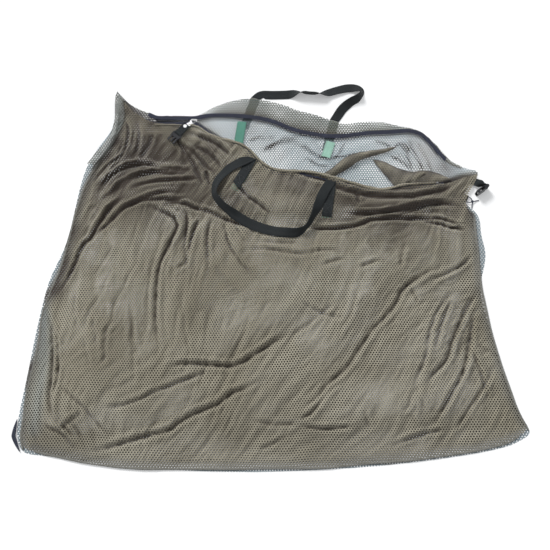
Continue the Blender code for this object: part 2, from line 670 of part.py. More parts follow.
def make_zip():
    """Two tapes and two rows of teeth, side by side where the zip is closed, apart where it is open."""
    tape = finish("zip_tape", TAPE_NAVY, 0.75)
    teeth = finish("zip_teeth", (0.03, 0.03, 0.04), 0.4)
    metal = finish("stop_metal", METAL_GREY, 0.4, 1.0)
    first, last = BACK.first_straight, STATIONS - 5
    drop = (TEETH_HEIGHT - ZIP_TAPE_THICKNESS) / 3
    sides = {
        "back": (BACK, 1, lambda k, d: zip_level()),
        "front": (FRONT, -1, lambda k, d: front_tape_level(k, min(d, -TAPE_START))),
    }
    for side, (lip, sign, level) in sides.items():
        lip_strip(f"{side}_zip_tape", lip, range(first - 1, last + 1),
                  lambda k: sign * (TAPE_START + ZIP_TAPE_WIDTH),
                  lambda k: sign * TAPE_START, level, ZIP_TAPE_THICKNESS, tape)
        lip_strip(f"{side}_zip_teeth", lip, range(first, last),
                  lambda k: sign * (ZIP_SLIT / 2 + TEETH_WIDTH),
                  lambda k: sign * ZIP_SLIT / 2, lambda k, d: level(k, d) - drop, TEETH_HEIGHT, teeth)
        station = last - 1 + END_STOP_SHARE
        spot = lip.at(station, sign * (ZIP_SLIT + TEETH_WIDTH) / 2)
        run = lip.direction(station)
        frame = frame_at((*spot, level(station, -TAPE_START) - drop),
                         math.degrees(math.atan2(run[1], run[0])))
        half = TEETH_WIDTH / 2 - GAP
        block(f"{side}_zip_stop", (-STOP_LENGTH / 2, -half, 0), (STOP_LENGTH / 2, half, TEETH_HEIGHT),
              frame, metal)
    start = BACK.line[first] - heading(ZIP_STRAIGHT_HEADING) * 2 * GAP
    frame = frame_at((*start, zip_level() - drop), ZIP_STRAIGHT_HEADING)
    block("zip_left_stop", (-STOP_LENGTH, -STOP_WIDTH, 0), (0, STOP_WIDTH, TEETH_HEIGHT), frame, metal)


# Solid pieces in their own frames

def frame_at(origin, turn, tilt=0.0):
    """A matrix whose X axis runs along a plan heading, tilted up by tilt degrees, with Y on its left."""
    turned = Matrix.Rotation(math.radians(turn), 4, "Z") @ Matrix.Rotation(math.radians(-tilt), 4, "Y")
    return Matrix.Translation(Vector(origin)) @ turned


def rounded(corners, radius, steps=3):
    """A plan outline with its corners rounded to one radius."""
    points = []
    count = len(corners)
    for i, corner in enumerate(corners):
        corner = Vector(corner)
        before = Vector(corners[i - 1]) - corner
        after = Vector(corners[(i + 1) % count]) - corner
        cut = min(radius, 0.45 * before.length, 0.45 * after.length)
        start, end = corner + before.normalized() * cut, corner + after.normalized() * cut
        for k in range(steps + 1):
            t = k / steps
            points.append((1 - t) ** 2 * start + 2 * t * (1 - t) * corner + t * t * end)
    return [(p.x, p.y) for p in points]


def prism(name, outline, low, high, frame, material, side_on=False):
    """A closed body: an outline in the frame's XY plane (XZ if side on), pushed from low to high."""
    count = len(outline)
    if side_on:
        points = [(x, low, z) for x, z in outline] + [(x, high, z) for x, z in outline]
    else:
        points = [(x, y, low) for x, y in outline] + [(x, y, high) for x, y in outline]
    faces = [tuple(range(count)), tuple(range(count, 2 * count))]
    faces += [(i, (i + 1) % count, count + (i + 1) % count, count + i) for i in range(count)]
    thing = add_object(name, points, faces, material)
    thing.matrix_world = frame
    return thing


def block(name, low, high, frame, material):
    """A plain box between two corners of a frame."""
    outline = [(low[0], low[1]), (high[0], low[1]), (high[0], high[1]), (low[0], high[1])]
    return prism(name, outline, low[2], high[2], frame, material)


def combine(target, other, operation):
    """Joins or cuts one body with another and removes the other."""
    bpy.context.view_layer.update()
    change = target.modifiers.new(operation.lower(), "BOOLEAN")
    change.operation = operation
    change.object = other
    change.solver = "EXACT"
    bpy.context.view_layer.update()
    result = bpy.data.meshes.new_from_object(target.evaluated_get(bpy.context.evaluated_depsgraph_get()))
    target.modifiers.clear()
    target.data = result
    bpy.data.objects.remove(other)
    return target


def circle(radius, count, centre=(0, 0), start=0.0, end=360.0):
    """Points on an arc, as (x, y), without the last one where the arc is a whole circle."""
    steps = count if end - start > 359.9 else count - 1
    angles = [math.radians(start + (end - start) * k / steps) for k in range(count)]
    return [(centre[0] + radius * math.cos(a), centre[1] + radius * math.sin(a)) for a in angles]


def make_slider():
    """Slider body round the closed rows, with a crown on top that the pull's ring hangs in."""
    metal = finish("slider_metal", METAL_GREY, 0.35, 1.0)
    centre = FRONT.slider_end - heading(ZIP_STRAIGHT_HEADING) * (SLIDER_LENGTH / 2 + SLIDER_SETBACK)
    frame = frame_at((*centre, 0), ZIP_STRAIGHT_HEADING)
    half = SLIDER_LENGTH / 2
    teeth_low = zip_level() - (TEETH_HEIGHT - ZIP_TAPE_THICKNESS) / 3
    floor_top = teeth_low - RUNNING_GAP
    plate_low = teeth_low + TEETH_HEIGHT + RUNNING_GAP
    side = TAPE_START + SLIDER_OVERHANG
    outline = rounded([(-half, -side), (half, -side), (half, side), (-half, side)], SLIDER_CORNER)
    slider = prism("zip_slider", outline, plate_low, plate_low + SLIDER_PLATE, frame, metal)
    combine(slider, prism("floor", outline, floor_top - SLIDER_FLOOR, floor_top, frame, metal), "UNION")
    post = ZIP_SLIT / 2 - RUNNING_GAP
    bridge_end = half - SLIDER_BRIDGE_SETBACK
    bridge = block("bridge", (bridge_end - SLIDER_BRIDGE_LENGTH, -post, floor_top - GAP),
                   (bridge_end, post, plate_low + GAP), frame, metal)
    combine(slider, bridge, "UNION")
    over_tape = zip_level() + ZIP_TAPE_THICKNESS + RUNNING_GAP
    for sign in (-1, 1):
        low, high = sorted((sign * (TAPE_START + GAP), sign * (side - FLANGE_INSET)))
        reach = half - FLANGE_SETBACK
        flange = block("flange", (-reach, low, over_tape), (reach, high, plate_low + GAP), frame, metal)
        combine(slider, flange, "UNION")
    crown_low = plate_low + SLIDER_PLATE
    bar_low = crown_low + CROWN_CLEAR_HEIGHT
    span = CROWN_SPAN / 2
    outer = span + CROWN_POST
    arch = [(-outer, crown_low - GAP), (-outer, bar_low), (-span, bar_low + CROWN_POST),
            (span, bar_low + CROWN_POST),
            (outer, bar_low), (outer, crown_low - GAP), (span, crown_low - GAP), (span, bar_low),
            (-span, bar_low),
            (-span, crown_low - GAP)]
    combine(slider, prism("crown", arch, -CROWN_POST / 2, CROWN_POST / 2, frame, metal, side_on=True),
            "UNION")
    return slider, (*centre, crown_low + CROWN_CLEAR_HEIGHT / 2)


def ring(name, radius, wire, frame, centre, material, count=20, sides=6):
    """A closed ring lying in the frame's XY plane round a centre on its X axis."""
    points, faces = [], []
    for i in range(count):
        around = 2 * math.pi * i / count
        for j in range(sides):
            section = 2 * math.pi * j / sides
            reach = radius + wire * math.cos(section)
            points.append((centre + reach * math.cos(around), reach * math.sin(around),
                           wire * math.sin(section)))
    for i in range(count):
        for j in range(sides):
            here, ahead = i * sides, (i + 1) % count * sides
            faces.append((here + j, ahead + j, ahead + (j + 1) % sides, here + (j + 1) % sides))
    thing = add_object(name, points, faces, material)
    thing.matrix_world = frame
    return thing


def web_strap(name, length, frame, material, start):
    """Doubled clip webbing from x = start to a loop round a web bar at x = length."""
    half = DOUBLED_WEBBING / 2
    body = length - math.sqrt(LOOP_OUTER**2 - half**2)
    low = math.degrees(math.atan2(-half, body - length))
    turn = circle(LOOP_OUTER, 14, (length, 0), low, -low)
    outline = [(start, -half)] + turn + [(start, half)]
    width = CLIP_WEBBING_WIDTH / 2
    strap = prism(name, outline, -width, width, frame, material, side_on=True)
    bore = prism("bore", circle(LOOP_INNER, 14, (length, 0)), -width - CUT_REACH, width + CUT_REACH, frame,
                 material, side_on=True)
    return combine(strap, bore, "DIFFERENCE")


def make_pull_and_clip(pivot):
    """Ring, plate, rivet, strap and the pronged buckle, in line from the slider's crown."""
    metal = finish("pull_metal", (0.78, 0.78, 0.76), 0.3, 1.0)
    bright = finish("rivet_metal", (0.9, 0.9, 0.9), 0.25, 1.0)
    webbing = finish("clip_webbing", WEBBING_BLACK, 0.7)
    moulded = finish("male_moulding", MOULDED_BLACK, 0.35)
    frame = frame_at(pivot, PULL_HEADING, CLIP_REST_TILT)
    pull = ring("zip_pull", PULL_RING_RADIUS, PULL_WIRE_RADIUS, frame, PULL_RING_RADIUS, metal)
    start = 2 * PULL_RING_RADIUS - PULL_WIRE_RADIUS * 0.6
    half, end = PULL_PLATE_WIDTH / 2, start + PULL_PLATE_LENGTH
    wide = start + PULL_SHOULDER
    outline = rounded([(start, -half / 2), (wide, -half), (end, -half), (end, half), (wide, half),
                       (start, half / 2)],
                      PULL_CORNER)
    thick = PULL_PLATE_THICKNESS / 2
    combine(pull, prism("plate", outline, -thick, thick, frame, metal), "UNION")
    rivet_at = end - half
    drilled = circle(RIVET_SHANK_RADIUS + GAP, 12, (rivet_at, 0))
    combine(pull, prism("drill", drilled, -CUT_REACH, CUT_REACH, frame, metal), "DIFFERENCE")
    strap_low = thick + GAP
    strap_high = strap_low + DOUBLED_WEBBING
    shank = circle(RIVET_SHANK_RADIUS, 12, (rivet_at, 0))
    rivet = prism("clip_rivet", shank, -thick - 2 * GAP, strap_high + 2 * GAP, frame, bright)
    under = circle(RIVET_HEAD_RADIUS * 0.8, 16, (rivet_at, 0))
    combine(rivet, prism("head", under, -thick - GAP - RIVET_FOOT_HEIGHT, -thick - GAP, frame, bright),
            "UNION")
    over = circle(RIVET_HEAD_RADIUS, 16, (rivet_at, 0))
    combine(rivet, prism("head", over, strap_high + GAP, strap_high + GAP + RIVET_HEAD_HEIGHT, frame, bright),
            "UNION")
    swivel = Matrix.Rotation(math.radians(CLIP_STRAP_HEADING - PULL_HEADING), 4, "Z")
    strap_frame = frame @ Matrix.Translation((rivet_at, 0, strap_low + WEBBING_THICKNESS)) @ swivel
    strap = web_strap("clip_strap", CLIP_STRAP_LENGTH, strap_frame, webbing, -STRAP_TAIL)
    drilled = circle(RIVET_SHANK_RADIUS + GAP, 12)
    combine(strap, prism("drill", drilled, -CUT_REACH, CUT_REACH, strap_frame, webbing), "DIFFERENCE")
    make_male_buckle(strap_frame @ Matrix.Translation((CLIP_STRAP_LENGTH, 0, 0)), moulded)


def cut_slot(shell, frame, material):
    """Cuts the slot that the webbing's loop turns in, and puts the web bar across it."""
    half = CLIP_WEBBING_WIDTH / 2 + RUNNING_GAP
    slot = block("slot", (-CUT_REACH, -half, -CUT_REACH), (LOOP_REACH, half, CUT_REACH), frame, material)
    combine(shell, slot, "DIFFERENCE")
    reach = half + BUCKLE_CHEEK / 2
    bar = prism("bar", circle(WEB_BAR_RADIUS, 10), -reach, reach, frame, material, side_on=True)
    return combine(shell, bar, "UNION")


def make_male_buckle(frame, material):
    """Pronged half: ribbed shoulder block, a middle guide and two sprung arms with hooked tips."""
    side, half = BUCKLE_HALF_WIDTH, MALE_THICKNESS / 2
    body_end = LOOP_REACH + MALE_BODY_LENGTH
    back = -WEB_BAR_RADIUS
    outline = rounded([(back, -side), (body_end, -side), (body_end, side), (back, side)], MALE_CORNER, 2)
    buckle = cut_slot(prism("male_buckle", outline, -half, half, frame, material), frame, material)
    for rib in range(RIB_COUNT):
        x = LOOP_REACH + RIB_START + rib * RIB_PITCH
        reach = side - RIB_INSET
        ridge = block("rib", (x, -reach, half - GAP), (x + RIB_WIDTH, reach, half + RIB_HEIGHT), frame,
                      material)
        combine(buckle, ridge, "UNION")
    root, tip = body_end - OVERLAP, body_end + PRONG_LENGTH
    thick = half * PRONG_SHARE
    centre, guide_end = GUIDE_WIDTH / 2, tip - GUIDE_SHORTER
    guide = rounded([(root, -centre), (guide_end, -centre), (guide_end, centre), (root, centre)],
                    OVERLAP, 2)
    combine(buckle, prism("guide", guide, -thick, thick, frame, material), "UNION")
    outer = side - PRONG_INSET
    inner, hook = outer - PRONG_WIDTH, outer + HOOK_REACH
    arm = [(root, inner), (tip - 4 * OVERLAP, inner), (tip, inner + HOOK_REACH / 2),
           (tip - OVERLAP, outer - RIB_HEIGHT),
           (tip - HOOK_POINT, hook), (tip - HOOK_LENGTH, hook), (tip - HOOK_LENGTH - OVERLAP, outer),
           (root, outer)]
    combine(buckle, prism("arm", arm, -thick, thick, frame, material), "UNION")
    mirrored = [(x, -y) for x, y in reversed(arm)]
    combine(buckle, prism("arm", mirrored, -thick, thick, frame, material), "UNION")
    return buckle


def make_female_buckle(frame, material):
    """Socket half: a hollow shell, open at its far end, with a window in each side for the hooks."""
    side, half = BUCKLE_HALF_WIDTH, FEMALE_THICKNESS / 2
    start, end, neck = LOOP_REACH, LOOP_REACH + FEMALE_LENGTH, FEMALE_NECK / 2
    back = -WEB_BAR_RADIUS
    full = start + FEMALE_TAPER
    profile = [(back, -neck), (start, -neck), (full, -half), (end, -half), (end, half), (full, half),
               (start, neck),
               (back, neck)]
    buckle = prism("female_buckle", profile, -side, side, frame, material, side_on=True)
    cut_slot(buckle, frame, material)
    inside, height, opening = side - SOCKET_WALL, SOCKET_HEIGHT / 2, SOCKET_WINDOW / 2
    pocket = block("socket", (start + SOCKET_DEPTH_LEFT, -inside, -height),
                   (end + CUT_REACH, inside, height), frame,
                   material)
    combine(buckle, pocket, "DIFFERENCE")
    beyond = side + CUT_REACH
    window = block("window", (start + WINDOW_START, -beyond, -opening),
                   (end - WINDOW_END, beyond, opening), frame,
                   material)
    combine(buckle, window, "DIFFERENCE")
    return buckle


def make_right_clip():
    """Short webbing from between the panels that turns on edge, and the socket buckle on its end."""
    webbing = finish("right_webbing", WEBBING_BLACK, 0.7)
    moulded = finish("female_moulding", MOULDED_BLACK, 0.35)
    exit_point, run = place(RIGHT_STRAP_EXIT), heading(RIGHT_STRAP_HEADING)
    across = heading(RIGHT_STRAP_HEADING + 90)
    root_level = back_lift(exit_point) + MESH_THICKNESS + HEM_STACK / 2
    bar_level = BUCKLE_HALF_WIDTH + GAP
    turned_at = RIGHT_STRAP_LENGTH - RIGHT_STRAP_LOOP_ROOM
    width, thick = CLIP_WEBBING_WIDTH / 2, DOUBLED_WEBBING / 2
    corners = [(-width, -thick), (width, -thick), (width, thick), (-width, thick)]
    points, faces = [], []
    start = RIGHT_STRAP_TURN_START
    marks = [-RIGHT_STRAP_ROOT, 0.0, start / 2, *np.linspace(start - OVERLAP, turned_at, 9),
             turned_at + 2 * OVERLAP]
    for d in marks:
        part = float(ease((d - start) / (turned_at - start)))
        centre = exit_point + run * d
        level = root_level + (bar_level - root_level) * float(ease(d / turned_at))
        tilt = math.radians(90 * part)
        for a, b in corners:
            aside = a * math.cos(tilt) - b * math.sin(tilt)
            rise = a * math.sin(tilt) + b * math.cos(tilt)
            points.append((*(centre + across * aside), level + rise))
    for k in range(len(marks) - 1):
        for j in range(4):
            a, b = 4 * k + j, 4 * k + (j + 1) % 4
            faces += [(a, b, b + 4), (a, b + 4, a + 4)]
    last = 4 * (len(marks) - 1)
    faces += [(0, 1, 2, 3), (last, last + 1, last + 2, last + 3)]
    strap = add_object("right_clip_strap", points, faces, webbing)
    on_edge = Matrix.Rotation(math.radians(90), 4, "X")
    end_frame = frame_at((*exit_point, bar_level), RIGHT_STRAP_HEADING) @ on_edge
    combine(strap, web_strap("loop", RIGHT_STRAP_LENGTH, end_frame, webbing, turned_at + OVERLAP), "UNION")
    bar = exit_point + run * RIGHT_STRAP_LENGTH
    make_female_buckle(frame_at((*bar, bar_level), FEMALE_HEADING) @ on_edge, moulded)


def make_tab_and_cord():
    """Folded tab from between the panels at the right seam, and a thin cord tied through it."""
    webbing = finish("tab_webbing", WEBBING_BLACK, 0.75)
    line = finish("cord", TAPE_NAVY, 0.6)
    exit_point = place(TAB_EXIT)
    low = back_lift(exit_point) + MESH_THICKNESS + GAP
    frame = frame_at((*exit_point, low), TAB_HEADING)
    half = TAB_WIDTH / 2
    outline = rounded([(-TAB_ROOT, -half), (TAB_LENGTH, -half), (TAB_LENGTH, half), (-TAB_ROOT, half)],
                      TAB_CORNER, 2)
    prism("side_tab", outline, 0, DOUBLED_WEBBING, frame, webbing)
    knot = frame @ Vector((TAB_LENGTH + KNOT_DISTANCE, 0, 0))
    knot.z = KNOT_RADIUS + GAP
    for name, sign in (("tie_cord", 1), ("tie_cord_return", -1)):
        leave = frame @ Vector((TAB_LENGTH + CORD_DIAMETER / 2, sign * TAB_WIDTH * CORD_SPREAD,
                                WEBBING_THICKNESS))
        aim = knot - leave
        meet = knot - aim * ((KNOT_RADIUS + GAP + CORD_DIAMETER / 4) / aim.length)
        bend = leave.lerp(meet, 0.5) + Vector((0, sign * CORD_BOW, CORD_ARCH))
        tube(name, smooth([tuple(leave), tuple(bend), tuple(meet)], 6), CORD_DIAMETER, line)
    make_knot(knot, line)


def tube(name, points, diameter, material):
    """A cord as a curve with a round bevel and filled caps."""
    data = bpy.data.curves.new(name, "CURVE")
    data.dimensions = "3D"
    data.bevel_depth = diameter / 2
    data.bevel_resolution = 2
    data.use_fill_caps = True
    spline = data.splines.new("POLY")
    spline.points.add(len(points) - 1)
    for slot, point in zip(spline.points, points):
        slot.co = (*point, 1.0)
    data.materials.append(material)
    thing = bpy.data.objects.new(name, data)
    bpy.context.scene.collection.objects.link(thing)
    return thing


def make_knot(centre, material):
    """The cord's knot with its two short tails."""
    shape = bmesh.new()
    bmesh.ops.create_icosphere(shape, subdivisions=2, radius=KNOT_RADIUS)
    mesh = bpy.data.meshes.new("tie_knot")
    shape.to_mesh(mesh)
    shape.free()
    mesh.materials.append(material)
    knot = bpy.data.objects.new("tie_knot", mesh)
    knot.location = centre
    bpy.context.scene.collection.objects.link(knot)
    for length, turn in KNOT_TAILS:
        tail = prism("tail", circle(CORD_DIAMETER / 2, 8), 0, length, Matrix.Identity(4), material)
        end = Vector((*(np.array(centre.xy) + heading(turn) * length), CORD_DIAMETER / 2 + GAP))
        run = end - centre
        tail.matrix_world = Matrix.Translation(centre) @ run.to_track_quat("Z", "Y").to_matrix().to_4x4()
        combine(knot, tail, "UNION")
    return knot


# Webbing laid on the cloth

class Surface:
    """The tops of some bodies, or their undersides counted downwards, read at plan points."""

    def __init__(self, things, below=False):
        bpy.context.view_layer.update()
        self.below = below
        self.trees = []
        for thing in things:
            shape = bmesh.new()
            shape.from_mesh(thing.data)
            shape.transform(thing.matrix_world)
            self.trees.append(BVHTree.FromBMesh(shape))
            shape.free()

    def level(self, point):
        """Height at a plan point, or None where there is nothing."""
        side = -1.0 if self.below else 1.0
        hits = [tree.ray_cast(Vector((point[0], point[1], side)),
                              Vector((0, 0, -side)))[0] for tree in self.trees]
        heights = [side * hit.z for hit in hits if hit is not None]
        return max(heights) if heights else None


def nearest_known(levels, wanted):
    """The known level nearest to a place in a list."""
    known = [k for k, level in enumerate(levels) if level is not None]
    return levels[min(known, key=lambda k: abs(k - wanted))] if known else 0.0


def drape(stations, crosses, surface):
    """Heights of webbing's two edges at each station, raised until it clears the surface all along."""
    edges = np.zeros((len(stations), 2))
    for k, (centre, cross) in enumerate(zip(stations, crosses)):
        levels = [surface.level(centre + cross * t) for t in np.linspace(-1, 1, 7)]
        edges[k] = nearest_known(levels, 0), nearest_known(levels, 6)
    for _ in range(3):
        for k in range(len(stations) - 1):
            short = 0.0
            for s in np.linspace(0, 1, 5):
                centre = (1 - s) * stations[k] + s * stations[k + 1]
                cross = (1 - s) * crosses[k] + s * crosses[k + 1]
                low, high = (1 - s) * edges[k] + s * edges[k + 1]
                for t in np.linspace(-1, 1, 9):
                    level = surface.level(centre + cross * t)
                    if level is not None:
                        short = max(short, level - (low * (1 - t) + high * (1 + t)) / 2)
            edges[k: k + 2] += short
    return edges


def ribbon(name, stations, crosses, surface, thickness, material, twists=None, origin=(0, 0, 0),
           hung=False):
    """Webbing along plan stations with half-width vectors, on a surface (or hung below it)."""
    angles = [math.radians(t) for t in twists] if twists else [0.0] * len(stations)
    flat = [cross * math.cos(angle) for cross, angle in zip(crosses, angles)]
    edges = drape(stations, flat, surface) + LAID_GAP if surface else np.zeros((len(stations), 2))
    lower, upper = [], []
    for centre, cross, aside, angle, (low, high) in zip(stations, crosses, flat, angles, edges):
        width = float(np.linalg.norm(cross))
        rise = 2 * width * math.sin(abs(angle))
        side = cross / width
        up = np.array([-side[0] * math.sin(angle), -side[1] * math.sin(angle), math.cos(angle)]) * thickness
        left = np.array([*(centre - aside), low + (rise if angle < 0 else 0.0)])
        right = np.array([*(centre + aside), high + (rise if angle > 0 else 0.0)])
        lower.append([left, right])
        upper.append([left + up, right + up])
    if hung:
        lower, upper = [[[p * (1, 1, -1) for p in row] for row in grid] for grid in (upper, lower)]
    return slab(name, lower, upper, material, origin)


def cross_vectors(stations, first, last, width, blend=4):
    """Half-width vectors square to a route, but along first and last at its ends where they are given."""
    run = np.gradient(stations, axis=0)
    side = np.column_stack([run[:, 1], -run[:, 0]])
    side /= np.linalg.norm(side, axis=1)[:, None]
    crosses = []
    for k, vector in enumerate(side):
        for distance, target in ((k, first), (len(stations) - 1 - k, last)):
            if distance < blend and target is not None:
                aim = target if float(target @ vector) > 0 else -target
                part = 1 - distance / blend
                vector = vector * (1 - part) + aim * part
        crosses.append(vector / np.linalg.norm(vector) * width / 2)
    return crosses


def loop_twists(table, count):
    """The twist at each of count stations, from a table by share of the loop."""
    return [from_table(table, k / (count - 1)) for k in range(count)]


def make_front_handle(front_panel):
    """Two sewn legs on the front panel and the loop that lies down over them."""
    webbing = finish("front_webbing", WEBBING_BLACK, 0.7)
    cloth = Surface([front_panel])
    tops = [place(p) for p in FRONT_LEG_TOPS]
    axis = (tops[1] - tops[0]) / np.linalg.norm(tops[1] - tops[0])
    legs = []
    for side, top, share, cut in zip(("left", "right"), tops, FRONT_LEG_ENDS, FRONT_LEG_CUTS):
        stations = along(np.array([top, place(share)]), np.linspace(0, 1, 12))
        crosses = cross_vectors(stations, axis, heading(cut), HANDLE_WEBBING_WIDTH)
        legs.append(ribbon(f"front_handle_{side}_leg", stations, crosses, cloth, WEBBING_THICKNESS,
                           webbing))
    bed = Surface([front_panel, *legs])
    stations = smooth([tops[0]] + [place(p) for p in FRONT_LOOP_ROUTE] + [tops[1]], 48)
    crosses = cross_vectors(stations, axis, axis, HANDLE_WEBBING_WIDTH, blend=6)
    levels = [bed.level(top) + LAID_GAP + WEBBING_THICKNESS / 2 for top in tops]
    pivot = (*((tops[0] + tops[1]) / 2), sum(levels) / 2)
    twists = loop_twists(FRONT_LOOP_TWISTS, len(stations))
    ribbon("front_handle_loop", stations, crosses, bed, WEBBING_THICKNESS, webbing, twists, pivot)


def back_crease(share):
    """The point just beyond the back hem's outer edge nearest to a place given in shares."""
    wanted = place(share)
    steps = np.linspace(BACK.first_open, STATIONS - 1, 400)
    station = min(steps, key=lambda k: float(np.linalg.norm(BACK.at(k, back_hem_reach(k)) - wanted)))
    edge = BACK.at(station, back_hem_reach(station))
    inner = BACK.at(station, 0.0)
    return edge + (edge - inner) / np.linalg.norm(edge - inner) * BACK_CREASE_OFFSET


def make_back_handle():
    """Two sewn legs under the back panel's hem and the loop that lies beyond it on the ground."""
    webbing = finish("back_webbing", WEBBING_BLACK, 0.7)
    creases = [back_crease(share) for share in BACK_CREASES]
    axis = (creases[1] - creases[0]) / np.linalg.norm(creases[1] - creases[0])
    for side, crease, turn in zip(("left", "right"), creases, BACK_LEG_HEADINGS):
        down = heading(turn)
        start = crease + down * (WEBBING_THICKNESS + GAP)
        stations = along(np.array([start, start + down * BACK_LEG_LENGTH]), np.linspace(0, 1, 6))
        crosses = cross_vectors(stations, axis, None, HANDLE_WEBBING_WIDTH)
        ribbon(f"back_handle_{side}_leg", stations, crosses, None, WEBBING_THICKNESS, webbing)
    stations = smooth([creases[0]] + [place(p) for p in BACK_LOOP_ROUTE] + [creases[1]], 42)
    crosses = cross_vectors(stations, axis, axis, HANDLE_WEBBING_WIDTH, blend=5)
    pivot = (*((creases[0] + creases[1]) / 2), WEBBING_THICKNESS / 2)
    twists = loop_twists(BACK_LOOP_TWISTS, len(stations))
    ribbon("back_handle_loop", stations, crosses, None, WEBBING_THICKNESS, webbing, twists, pivot)


def make_backings(back_panel, front_panel):
    """Green tapes behind the handles: on the back panel, and hung below the front one."""
    green = finish("backing_tape", BACKING_GREEN, 0.7)
    cloth = Surface([back_panel])
    for side, (top, end) in zip(("left", "right"), BACK_BACKINGS):
        stations = along(np.array([place(top), place(end)]), np.linspace(0, 1, 8))
        crosses = cross_vectors(stations, None, None, BACKING_WIDTH)
        ribbon(f"back_{side}_tape", stations, crosses, cloth, BACKING_THICKNESS, green)
    underside = Surface([front_panel], below=True)
    for side, top, end in zip(("left", "right"), FRONT_LEG_TOPS, FRONT_LEG_ENDS):
        down = place(end) - place(top)
        down /= np.linalg.norm(down)
        start = place(top) + down * FRONT_BACKING_START
        stations = along(np.array([start, start + down * FRONT_BACKING_LENGTH]), np.linspace(0, 1, 8))
        crosses = cross_vectors(stations, None, None, BACKING_WIDTH)
        ribbon(f"front_{side}_tape", stations, crosses, underside, BACKING_THICKNESS, green, hung=True)


def centre_on_ground():
    """Moves the whole sack so that the ground's origin lies under the middle of its bounds."""
    bpy.context.view_layer.update()
    corners = []
    for thing in bpy.data.objects:
        if thing.name not in CORD_NAMES:
            corners += [thing.matrix_world @ Vector(c) for c in thing.bound_box]
    low = [min(c[k] for c in corners) for k in range(3)]
    high = [max(c[k] for c in corners) for k in range(3)]
    move = Matrix.Translation((-(low[0] + high[0]) / 2, -(low[1] + high[1]) / 2, -low[2]))
    for thing in bpy.data.objects:
        thing.matrix_world = move @ thing.matrix_world


def build():
    """Makes every piece, then centres the sack on the ground's origin."""
    for thing in list(bpy.data.objects):
        bpy.data.objects.remove(thing)
    back_panel = make_back_panel()
    front_panel = make_front_panel()
    make_seams()
    make_hems()
    make_zip()
    _, pivot = make_slider()
    make_pull_and_clip(pivot)
    make_right_clip()
    make_tab_and_cord()
    make_front_handle(front_panel)
    make_back_handle()
    make_backings(back_panel, front_panel)
    centre_on_ground()


build()
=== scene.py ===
"""Carp sack laid out flat with its mouth unzipped: cloth, zip, webbing, finishes and studio.

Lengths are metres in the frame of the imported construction: +X along the bottom edge to the right,
+Y from the bottom edge to the mouth, +Z up. Places that were read off the photograph are written as
(across, down) pixels of its 550 pixel frame, and are traced onto the cloth through the same camera.
"""

import json
import logging
import math
from dataclasses import dataclass, field
from enum import Enum

import bmesh
import bpy
import numpy as np
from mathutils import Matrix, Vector, noise
from mathutils.bvhtree import BVHTree


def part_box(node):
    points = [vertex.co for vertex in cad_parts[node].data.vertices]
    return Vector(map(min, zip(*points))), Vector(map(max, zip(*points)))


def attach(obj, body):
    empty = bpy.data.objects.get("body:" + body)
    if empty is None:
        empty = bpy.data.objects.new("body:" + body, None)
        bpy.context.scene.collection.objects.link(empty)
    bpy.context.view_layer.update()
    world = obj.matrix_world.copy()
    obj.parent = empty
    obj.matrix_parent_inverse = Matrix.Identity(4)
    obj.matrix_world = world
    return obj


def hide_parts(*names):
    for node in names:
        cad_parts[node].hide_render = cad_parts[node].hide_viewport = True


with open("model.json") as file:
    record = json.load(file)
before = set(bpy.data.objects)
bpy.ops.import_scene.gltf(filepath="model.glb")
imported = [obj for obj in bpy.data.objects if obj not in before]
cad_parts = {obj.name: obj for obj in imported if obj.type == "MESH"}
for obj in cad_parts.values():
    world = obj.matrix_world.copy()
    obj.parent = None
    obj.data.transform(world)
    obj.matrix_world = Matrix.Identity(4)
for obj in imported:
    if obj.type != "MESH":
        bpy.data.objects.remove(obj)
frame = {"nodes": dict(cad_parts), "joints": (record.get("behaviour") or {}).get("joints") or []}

log = logging.getLogger("carp_sack")

Array = np.ndarray
Material = bpy.types.Material
Socket = bpy.types.NodeSocket
Pair = tuple[float, float]
Triple = tuple[float, float, float]
Pixels = tuple[Pair, ...]
Rows = tuple[Pair, ...]
Spots = tuple[tuple[float, float, float, float], ...]


# Camera and plan


@dataclass(frozen=True)
class PhotoView:
    """The camera of the photograph: high over the bottom edge, looking down at the sack."""

    elevation: float = 74.0
    distance: float = 2.2
    lens: float = 57.6
    sensor: float = 36.0
    pixels: float = 550.0
    target: Triple = (0.0068, -0.0238, 0.0)

    def backward(self) -> Vector:
        """The direction from the target to the camera."""
        angle = math.radians(self.elevation)
        return Vector((0.0, -math.cos(angle), math.sin(angle)))

    def eye(self) -> Vector:
        """Where the camera stands."""
        return Vector(self.target) + self.backward() * self.distance

    def sight(self, pixel: Pair) -> Vector:
        """The direction in which the camera sees a pixel.

        Args:
            pixel: across and down in the photograph.

        Returns:
            A unit vector.
        """
        focal = self.lens / self.sensor * self.pixels
        middle = self.pixels / 2
        back = self.backward()
        up = Vector((0.0, back.z, -back.y))
        return (Vector((pixel[0] - middle, 0, 0)) + up * (middle - pixel[1]) - back * focal).normalized()

    def ground(self, pixel: Pair, height: float) -> Vector:
        """The point at a height that the camera sees at a pixel.

        Args:
            pixel: across and down in the photograph.
            height: height over the ground.

        Returns:
            The point in the row frame.
        """
        way = self.sight(pixel)
        eye = self.eye()
        return eye + way * ((height - eye.z) / way.z)

    def make(self) -> None:
        """Creates the camera and makes it the scene's own."""
        data = bpy.data.cameras.new("photo_camera")
        data.lens = self.lens
        data.sensor_width = self.sensor
        data.clip_start = 0.01
        camera = bpy.data.objects.new("photo_camera", data)
        camera.location = self.eye()
        camera.rotation_euler = (-self.backward()).to_track_quat("-Z", "Y").to_euler()
        bpy.context.scene.collection.objects.link(camera)
        bpy.context.scene.camera = camera


VIEW = PhotoView()


